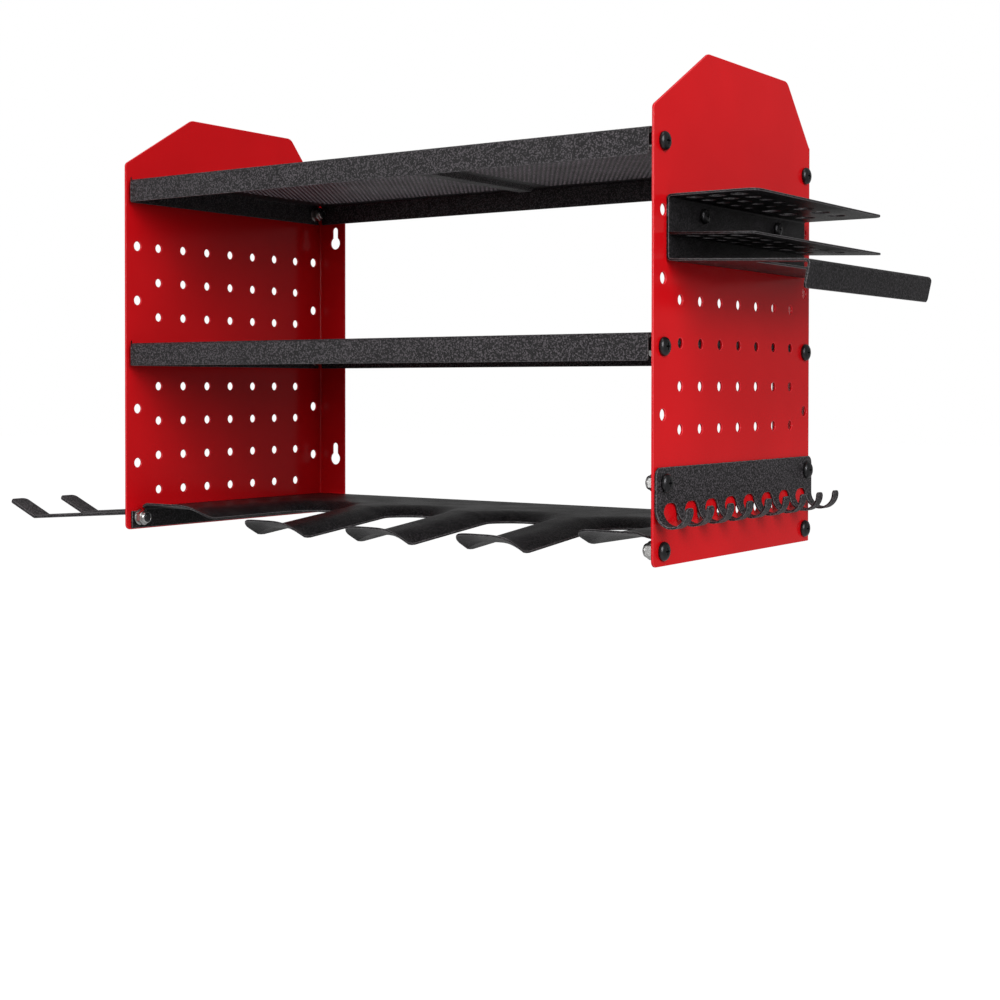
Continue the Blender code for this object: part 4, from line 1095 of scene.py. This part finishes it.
# Bolts and nuts
# Black oxide pan head bolts with a cross recess go through from outside, and bright zinc plated
# hexagon nuts hold them inside. Those of the bit rack are smaller than the rest.
HEAD_PROFILE_SHARES = (
    (0.3, 0.985),
    (0.55, 0.93),
    (0.75, 0.82),
    (0.9, 0.64),
    (0.975, 0.42),
    (1.0, 0.22),
    (0.99, 0.05),
    (0.97, 0.0),
)
HEAD_SHARE = 0.287
RECESS_LENGTH_SHARE = 0.50
RECESS_WIDTH_SHARE = 0.11
RECESS_TAPER_SHARE = 0.55
RECESS_DEPTH_SHARE = 0.70
THREAD_PITCH = 0.001
THREAD_DEPTH = 0.00035
THREAD_TURNS = 8
TURN_STEPS = 40
THREAD_STEP_SHARE = 0.125
BOLT_DIAMETER = 0.006
RACK_BOLT_DIAMETER = 0.0048
THREAD_CLEARANCE = 0.0003
NUT_CHAMFER = math.radians(30)
NUT_CHAMFER_SHARE = 0.95
NUT_FLANGE_SHARE = 1.18
NUT_FLANGE_TOP_SHARE = 0.10
NUT_FLANGE_SLOPE = math.radians(18)
NUT_COLLAR_SHARE = 0.86
NUT_COLLAR_BASE_SHARE = 0.72
COLLAR_ROUND = 0.0009
COLLAR_LIP = 0.0002
COLLAR_RING_DEPTH = 0.0012
BORE_LEAD = 0.0004
METAL_RELIEF = 0.00001
SIZE_DIGITS = 4


def ring_mesh(name, rings):
    """A closed mesh through rings of equal count; end points, or the first ring again, close it."""
    shape = bmesh.new()
    made = [[shape.verts.new(point) for point in ring] for ring in rings]
    for upper, lower in zip(made, made[1:]):
        steps = max(len(upper), len(lower))
        for step in range(steps):
            after = (step + 1) % steps
            corners = [upper[step % len(upper)], lower[step % len(lower)]]
            corners += [lower[after % len(lower)], upper[after % len(upper)]]
            shape.faces.new(list(dict.fromkeys(corners)))
    mesh = bpy.data.meshes.new(name)
    shape.to_mesh(mesh)
    shape.free()
    return mesh


def turn_points(radius_at, height_at=None, level=0.0):
    """A ring about Z, given its radius at an angle and its height, or the height at a radius."""
    points = []
    for step in range(TURN_STEPS):
        angle = 2 * math.pi * step / TURN_STEPS
        radius = radius_at(angle)
        height = height_at(radius) if height_at else level
        points.append((radius * math.cos(angle), radius * math.sin(angle), height))
    return points


def bolt_mesh(name, diameter, head_diameter, head_height, length):
    """Head up, seat at height 0, shank down; the end carries a cut thread."""
    rings = [[(0, 0, head_height)]]
    for across, up in HEAD_PROFILE_SHARES:
        radius = across * head_diameter / 2
        rings.append(turn_points(lambda angle: radius, level=up * head_height))
    shank = diameter / 2
    thread_top = -max(0, length - THREAD_TURNS * THREAD_PITCH)
    rings.append(turn_points(lambda angle: shank, level=0))
    rings.append(turn_points(lambda angle: shank, level=thread_top))
    step = THREAD_PITCH * THREAD_STEP_SHARE
    level = thread_top - step

    def groove(angle):
        phase = (level / THREAD_PITCH + angle / (2 * math.pi)) % 1
        return shank - THREAD_DEPTH * abs(2 * phase - 1)

    while level > -length + THREAD_PITCH / 2:
        rings.append(turn_points(groove, level=level))
        level -= step
    rings.append(turn_points(lambda angle: shank - THREAD_DEPTH, level=-length + THREAD_PITCH / 3))
    rings.append(turn_points(lambda angle: shank - 2 * THREAD_DEPTH, level=-length))
    rings.append([(0, 0, -length)])
    return ring_mesh(name, rings)


def cut_cross(mesh, head_diameter, head_height):
    """Cuts the tapered cross recess into a bolt's head."""
    bolt = bpy.data.objects.new("bolt_blank", mesh)
    bpy.context.scene.collection.objects.link(bolt)
    wings = []
    for turn in (0, math.pi / 2):
        wing = bmesh.new()
        bmesh.ops.create_cube(wing, size=1)
        for vertex in wing.verts:
            narrow = 1 if vertex.co.z > 0 else RECESS_TAPER_SHARE
            vertex.co.x *= head_diameter * RECESS_LENGTH_SHARE * narrow
            vertex.co.y *= head_diameter * RECESS_WIDTH_SHARE * (1 + narrow) / 2
            vertex.co.z = head_height * (1 + vertex.co.z * 2 * RECESS_DEPTH_SHARE)
        wing.transform(Matrix.Rotation(turn, 4, "Z"))
        cutter_mesh = bpy.data.meshes.new("recess")
        wing.to_mesh(cutter_mesh)
        wing.free()
        cutter = bpy.data.objects.new("recess", cutter_mesh)
        bpy.context.scene.collection.objects.link(cutter)
        cut = bolt.modifiers.new("Recess", "BOOLEAN")
        cut.operation = "DIFFERENCE"
        cut.object = cutter
        wings.append(cutter)
    made = bpy.data.meshes.new_from_object(bolt.evaluated_get(bpy.context.evaluated_depsgraph_get()))
    for scrap in wings + [bolt]:
        bpy.data.objects.remove(scrap, do_unlink=True)
    return made


def lock_nut_mesh(name, width, height, bore):
    """A hexagon lock nut about Z, bored through: flange at the bottom, rounded collar at the top."""
    chamfer_radius = width / 2 * NUT_CHAMFER_SHARE
    flange = width * NUT_FLANGE_SHARE / 2
    collar = width * NUT_COLLAR_SHARE / 2
    shoulder = height * (NUT_COLLAR_BASE_SHARE - 0.5)
    flange_top = height * (NUT_FLANGE_TOP_SHARE - 0.5)

    def hexagon(angle):
        return width / 2 / math.cos((angle % (math.pi / 3)) - math.pi / 6)

    def shoulder_drop(radius):
        return shoulder - max(0, radius - chamfer_radius) * math.tan(NUT_CHAMFER)

    def flange_rise(radius):
        return flange_top + max(0, flange - radius) * math.tan(NUT_FLANGE_SLOPE)

    bottom, top = -height / 2, height / 2
    lead = bore / 2 + BORE_LEAD
    rings = [turn_points(lambda angle: bore / 2, level=top - COLLAR_RING_DEPTH)]
    for radius, level in (
        (bore / 2, top - COLLAR_LIP),
        (bore / 2 + COLLAR_LIP, top),
        (collar - COLLAR_ROUND, top),
        (collar - COLLAR_ROUND / 3, top - COLLAR_ROUND / 3),
        (collar, top - COLLAR_ROUND),
        (collar, shoulder),
        (chamfer_radius, shoulder),
    ):
        rings.append(turn_points(lambda angle: radius, level=level))
    rings.append(turn_points(hexagon, shoulder_drop))
    rings.append(turn_points(hexagon, flange_rise))
    for radius, level in (
        (flange, flange_top),
        (flange, bottom + COLLAR_LIP),
        (flange - COLLAR_LIP, bottom),
        (lead, bottom),
        (bore / 2, bottom + BORE_LEAD),
    ):
        rings.append(turn_points(lambda angle: radius, level=level))
    rings.append(rings[0])
    return ring_mesh(name, rings)


def smooth_outward(mesh):
    """Welds a turned mesh, points its faces out and shades its curves smooth."""
    shape = bmesh.new()
    shape.from_mesh(mesh)
    bmesh.ops.remove_doubles(shape, verts=shape.verts, dist=WELD)
    bmesh.ops.recalc_face_normals(shape, faces=shape.faces)
    if shape.calc_volume(signed=True) < 0:
        bmesh.ops.reverse_faces(shape, faces=shape.faces)
    shape.to_mesh(mesh)
    shape.free()
    mesh.shade_smooth()
    mesh.set_sharp_from_angle(angle=SHARP_TURN)


def plated_metal(name, metallic, ripples_per_metre, dark, light, smoothest, dullest):
    """A thinly plated or blackened metal whose tone and polish vary a little."""
    material, tree, shader = new_material(name, Metallic=metallic)
    film = use_group(tree, COAT_FILM, {"Ripple per metre": ripples_per_metre})
    tree.links.new(mix_color(tree, film["Tone"], dark, light), shader.inputs["Base Color"])
    tree.links.new(spread(tree, film["Haze"], 0, 1, smoothest, dullest), shader.inputs["Roughness"])
    bump = add_node(tree, "ShaderNodeBump", {"Height": film["Height"], "Distance": METAL_RELIEF})
    tree.links.new(bump.outputs["Normal"], shader.inputs["Normal"])
    return material


BLACK_STEEL = plated_metal(
    "black_oxide_steel",
    metallic=0.85,
    ripples_per_metre=2600.0,
    dark=(0.028, 0.028, 0.030, 1),
    light=(0.045, 0.044, 0.046, 1),
    smoothest=0.24,
    dullest=0.36,
)
ZINC = plated_metal(
    "zinc_plate",
    metallic=1.0,
    ripples_per_metre=1800.0,
    dark=(0.40, 0.40, 0.41, 1),
    light=(0.50, 0.49, 0.47, 1),
    smoothest=0.20,
    dullest=0.34,
)
SHARED = {}


def shared_mesh(key, make):
    """The mesh kept under this key, made the first time it is asked for."""
    if key not in SHARED:
        SHARED[key] = make()
    return SHARED[key]


def along_bolt(node):
    """A node's turned piece: middle of its axis, half its length, its width and the side it is on."""
    low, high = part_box(node)
    middle = (low + high) / 2
    return middle, (high.x - low.x) / 2, high.z - low.z, math.copysign(1, middle.x)


def bolt_diameter(node):
    return RACK_BOLT_DIAMETER if node.startswith("rack") else BOLT_DIAMETER


def fit_bolt(node):
    middle, half_length, head_diameter, side = along_bolt(node)
    head_height = head_diameter * HEAD_SHARE
    length = 2 * half_length - head_height
    key = (round(head_diameter, SIZE_DIGITS), round(length, SIZE_DIGITS))

    def make():
        mesh = bolt_mesh("bolt", bolt_diameter(node), head_diameter, head_height, length)
        smooth_outward(mesh)
        mesh = cut_cross(mesh, head_diameter, head_height)
        smooth_outward(mesh)
        return mesh

    bolt = bpy.data.objects.new(node + "_turned", shared_mesh(key, make))
    bpy.context.scene.collection.objects.link(bolt)
    seat = middle.x + side * (half_length - head_height)
    bolt.matrix_world = Matrix.Translation((seat, middle.y, middle.z)) @ Matrix.Rotation(
        side * math.pi / 2, 4, "Y"
    )
    fit(bolt, node, "black_bolt", BLACK_STEEL)


def fit_nut(node):
    middle, half_length, width, side = along_bolt(node)

    def make():
        bore = bolt_diameter(node) + 2 * THREAD_CLEARANCE
        mesh = lock_nut_mesh("nut", width, 2 * half_length, bore)
        smooth_outward(mesh)
        return mesh

    key = ("nut", round(width, SIZE_DIGITS))
    nut = bpy.data.objects.new(node + "_locking", shared_mesh(key, make))
    bpy.context.scene.collection.objects.link(nut)
    nut.matrix_world = Matrix.Translation(middle) @ Matrix.Rotation(-side * math.pi / 2, 4, "Y")
    fit(nut, node, "zinc_nut", ZINC)


for node in sorted(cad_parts):
    if node.endswith("_bolt"):
        fit_bolt(node)
    if node.endswith("_nut"):
        fit_nut(node)

# Floor, light and camera
# A pale studio floor far below the rack, white behind it, and soft boxes in front and above. The
# camera stands where the photograph was taken from.
FLOOR_HEIGHT = -1.25
FLOOR_REACH = 60
FLOOR_COLOR = (0.80, 0.80, 0.80, 1)
FLOOR_GLOW = 0.72
WORLD_FILL = 0.38
WORLD_GLOSS = 0.26
CAMERA_PLACE = Vector((0.69989, -1.05193, -0.13108))
CAMERA_TURN = math.radians(35.039)
CAMERA_TILT = math.radians(0.780)
CAMERA_ROLL = math.radians(0.063)
CAMERA_LENS = 59.285
CAMERA_SHIFT = -0.08975
LAMP_AIM = Vector((0, -0.1, -0.1))
LAMPS = (
    ("key_softbox", (1.58, -1.0, 0.52), (1.1, 1.1), 30.5),
    ("left_softbox", (-0.45, -1.5, 0.2), (0.7, 0.7), 9.0),
    ("top_softbox", (0.0, -0.3, 1.2), (1.2, 0.8), 6.0),
)


def stage_floor():
    bpy.ops.mesh.primitive_plane_add(size=FLOOR_REACH, location=(0, 0, FLOOR_HEIGHT))
    floor = bpy.context.object
    floor.name = "studio_floor"
    material = bpy.data.materials.new("pale_floor")
    material.use_nodes = True
    tree = material.node_tree
    tree.nodes.clear()
    diffuse = add_node(tree, "ShaderNodeBsdfDiffuse", {"Color": FLOOR_COLOR})
    seen = add_node(tree, "ShaderNodeLightPath").outputs["Is Camera Ray"]
    glow = add_node(
        tree, "ShaderNodeEmission", {"Strength": math_node(tree, "MULTIPLY", seen, FLOOR_GLOW)}
    )
    both = add_node(tree, "ShaderNodeAddShader", {0: diffuse.outputs[0], 1: glow.outputs[0]})
    add_node(tree, "ShaderNodeOutputMaterial", {"Surface": both.outputs[0]})
    floor.data.materials.append(material)


def studio_world():
    """White behind the rack, and a plain fill of light around it."""
    world = bpy.data.worlds.new("studio_white")
    bpy.context.scene.world = world
    world.use_nodes = True
    tree = world.node_tree
    path = add_node(tree, "ShaderNodeLightPath").outputs
    clear = math_node(tree, "MAXIMUM", path["Is Camera Ray"], path["Is Transmission Ray"])
    fill = spread(tree, path["Is Glossy Ray"], 0, 1, WORLD_FILL, WORLD_GLOSS)
    strength = math_node(tree, "MAXIMUM", clear, fill)
    tree.links.new(strength, tree.nodes["Background"].inputs["Strength"])
    tree.nodes["Background"].inputs["Color"].default_value = (1, 1, 1, 1)


def softbox(name, place, size, power):
    light = bpy.data.lights.new(name, "AREA")
    light.shape = "RECTANGLE"
    light.size, light.size_y = size
    light.energy = power
    lamp = bpy.data.objects.new(name, light)
    lamp.location = place
    aim = LAMP_AIM - Vector(place)
    lamp.rotation_euler = aim.to_track_quat("-Z", "Y").to_euler()
    bpy.context.scene.collection.objects.link(lamp)


def photo_camera():
    """The camera, turned to the left, tilted down a little and rolled by a hair."""
    forward = Vector(
        (
            -math.sin(CAMERA_TURN) * math.cos(CAMERA_TILT),
            math.cos(CAMERA_TURN) * math.cos(CAMERA_TILT),
            -math.sin(CAMERA_TILT),
        )
    )
    right = Vector((math.cos(CAMERA_TURN), math.sin(CAMERA_TURN), 0))
    up = right.cross(forward)
    turned_right = right * math.cos(CAMERA_ROLL) + up * math.sin(CAMERA_ROLL)
    turned_up = up * math.cos(CAMERA_ROLL) - right * math.sin(CAMERA_ROLL)
    data = bpy.data.cameras.new("photo_camera")
    data.lens = CAMERA_LENS
    data.shift_y = CAMERA_SHIFT
    camera = bpy.data.objects.new("photo_camera", data)
    axes = Matrix((turned_right, turned_up, -forward)).transposed()
    camera.matrix_world = Matrix.Translation(CAMERA_PLACE) @ axes.to_4x4()
    bpy.context.scene.collection.objects.link(camera)
    bpy.context.scene.camera = camera


stage_floor()
studio_world()
for lamp in LAMPS:
    softbox(*lamp)
photo_camera()
bpy.context.scene.view_settings.view_transform = "Standard"
